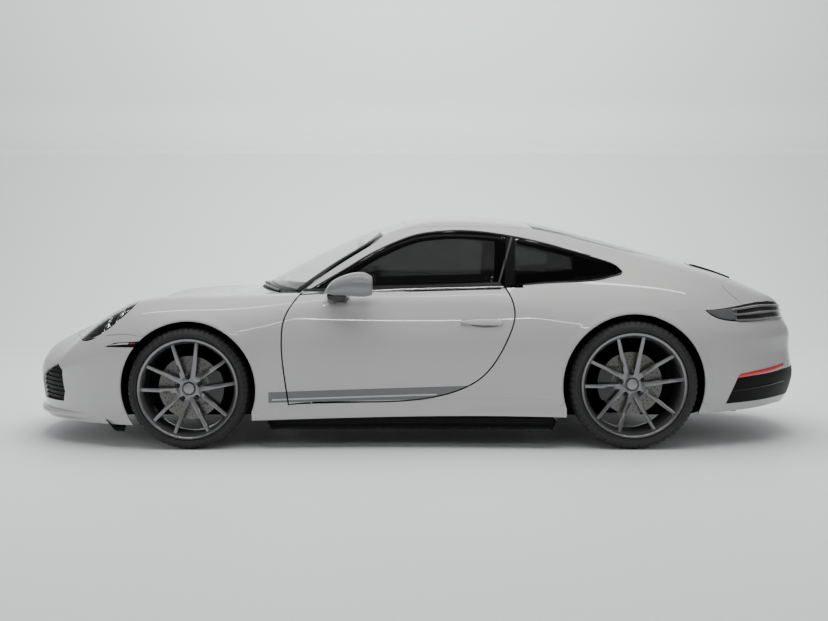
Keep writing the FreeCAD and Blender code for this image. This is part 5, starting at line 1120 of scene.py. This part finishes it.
for word, side in (("left", -1), ("right", 1)):
    front, rear = side * 370, side * 240
    pad("seat_cushion_" + word, [(-84, 290), (160, 284), (424, 284)], [228, 240, 240, 232],
        [78, 84, 84, 80], front, (0.25, 0.45, 0.65))
    pad("seat_back_" + word, [(575, 1052), (530, 860), (462, 560), (412, 340)],
        [104, 112, 150, 238, 240, 236], [20, 30, 36, 40, 44, 46], front, (0.34, 0.5, 0.66, 0.82))
    pad("rear_seat_cushion_" + word, [(774, 484), (870, 486), (976, 490)], [198, 206, 202],
        [26, 30, 26], rear, (0.35, 0.65))
    pad("rear_seat_back_" + word, [(1066, 770), (1012, 640), (962, 520)], [190, 204, 200],
        [22, 28, 30], rear, (0.35, 0.65))
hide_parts("front_seats")
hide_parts("rear_seats")

# The glass, settled on the same surface as the panels round it
for name, field, finish, body, slot in (
        ("door_glass_left", cabin_distance, dark_glass, "door_left", "dark_glass"),
        ("door_glass_right", cabin_distance, dark_glass, "door_right", "dark_glass"),
        ("quarter_glass", cabin_distance, dark_glass, "chassis", "dark_glass"),
        ("windscreen", cabin_distance, clear_glass, "chassis", "clear_glass"),
        ("rear_window", body_distance, rear_glass, "chassis", "dark_glass")):
    skin(name, field, finish, body, 2.9)

# The camera, as it was fitted to the photo: its place in metres and how far it looks down
CAMERA_PLACE = (-0.008, -7.645, 1.1895)
CAMERA_DOWN = 3.58
camera = bpy.data.cameras.new("camera")
camera.sensor_width, camera.lens = 36.0, 53.87
camera_object = in_scene("camera", camera)
camera_object.location = CAMERA_PLACE
camera_object.rotation_euler = (radians(90 - CAMERA_DOWN), 0, 0)
bpy.context.scene.camera = camera_object


def backdrop():
    """A pale floor that curves up by a quarter circle into a wall far behind the car."""
    front, rear, curve, top = -9000, 5200, 2200, 9000
    turn = np.linspace(0, np.pi / 2, 60)
    reach = np.concatenate([np.linspace(front, rear, 30), rear + curve * np.sin(turn),
                            np.full(12, rear + curve)])
    rise = np.concatenate([np.zeros(30), curve * (1 - np.cos(turn)), np.linspace(curve, top, 12)])
    points = together(np.linspace(-16000, 16000, 40)[:, None], reach, rise)
    faces = grid_faces(*points.shape[:2]).tolist()
    made = mesh_object("studio_floor", points.reshape(-1, 3), faces)
    floor = Finish("pale_floor", (0.60, 0.61, 0.615))
    floor.feed("Roughness", floor.noise(0.8) * 0.1 + 0.45)
    made.data.materials.append(floor.material)


def softbox(name, place, aim, size, power, in_gloss=False):
    """A flat lamp turned from its place towards its aim; few show in the car's gloss."""
    lamp = bpy.data.lights.new(name, "AREA")
    lamp.shape = "RECTANGLE"
    lamp.size, lamp.size_y = size
    lamp.energy = power
    thing = in_scene(name, lamp)
    thing.visible_glossy = in_gloss
    thing.location = place
    way = np.array(aim, float) - np.array(place, float)
    flat = np.hypot(way[0], way[1])
    thing.rotation_euler = (np.arctan2(flat, -way[2]), 0, np.arctan2(way[1], way[0]) - np.pi / 2)


backdrop()
softbox("ceiling", (0, 0.6, 5.6), (0, 0.6, 0), (10, 5.5), 820)
softbox("low_band", (0, -6.4, 3.35), (0, 0, 0.75), (7, 0.10), 60, in_gloss=True)
softbox("high_band", (0.1, -0.9, 4.6), (0.1, -0.899, 0), (6.6, 0.14), 42, in_gloss=True)
softbox("nose_light", (-7.5, -1.5, 1.6), (-1.8, 0, 0.5), (2.0, 1.2), 110)
softbox("front_fill", (-6, -6, 2.6), (-1, 0, 0.5), (1.6, 1.6), 60)
softbox("tail_fill", (7, -5, 3), (1.6, 0, 0.5), (2, 2), 70)
softbox("wall_wash", (0, 3.2, 6.5), (0, 7.4, 2.4), (14, 1.5), 740)
world = bpy.data.worlds.new("studio")
world.use_nodes = True
sky = world.node_tree.nodes["Background"]
sky.inputs["Color"].default_value = (0.82, 0.83, 0.84, 1)
sky.inputs["Strength"].default_value = 0.22
bpy.context.scene.world = world
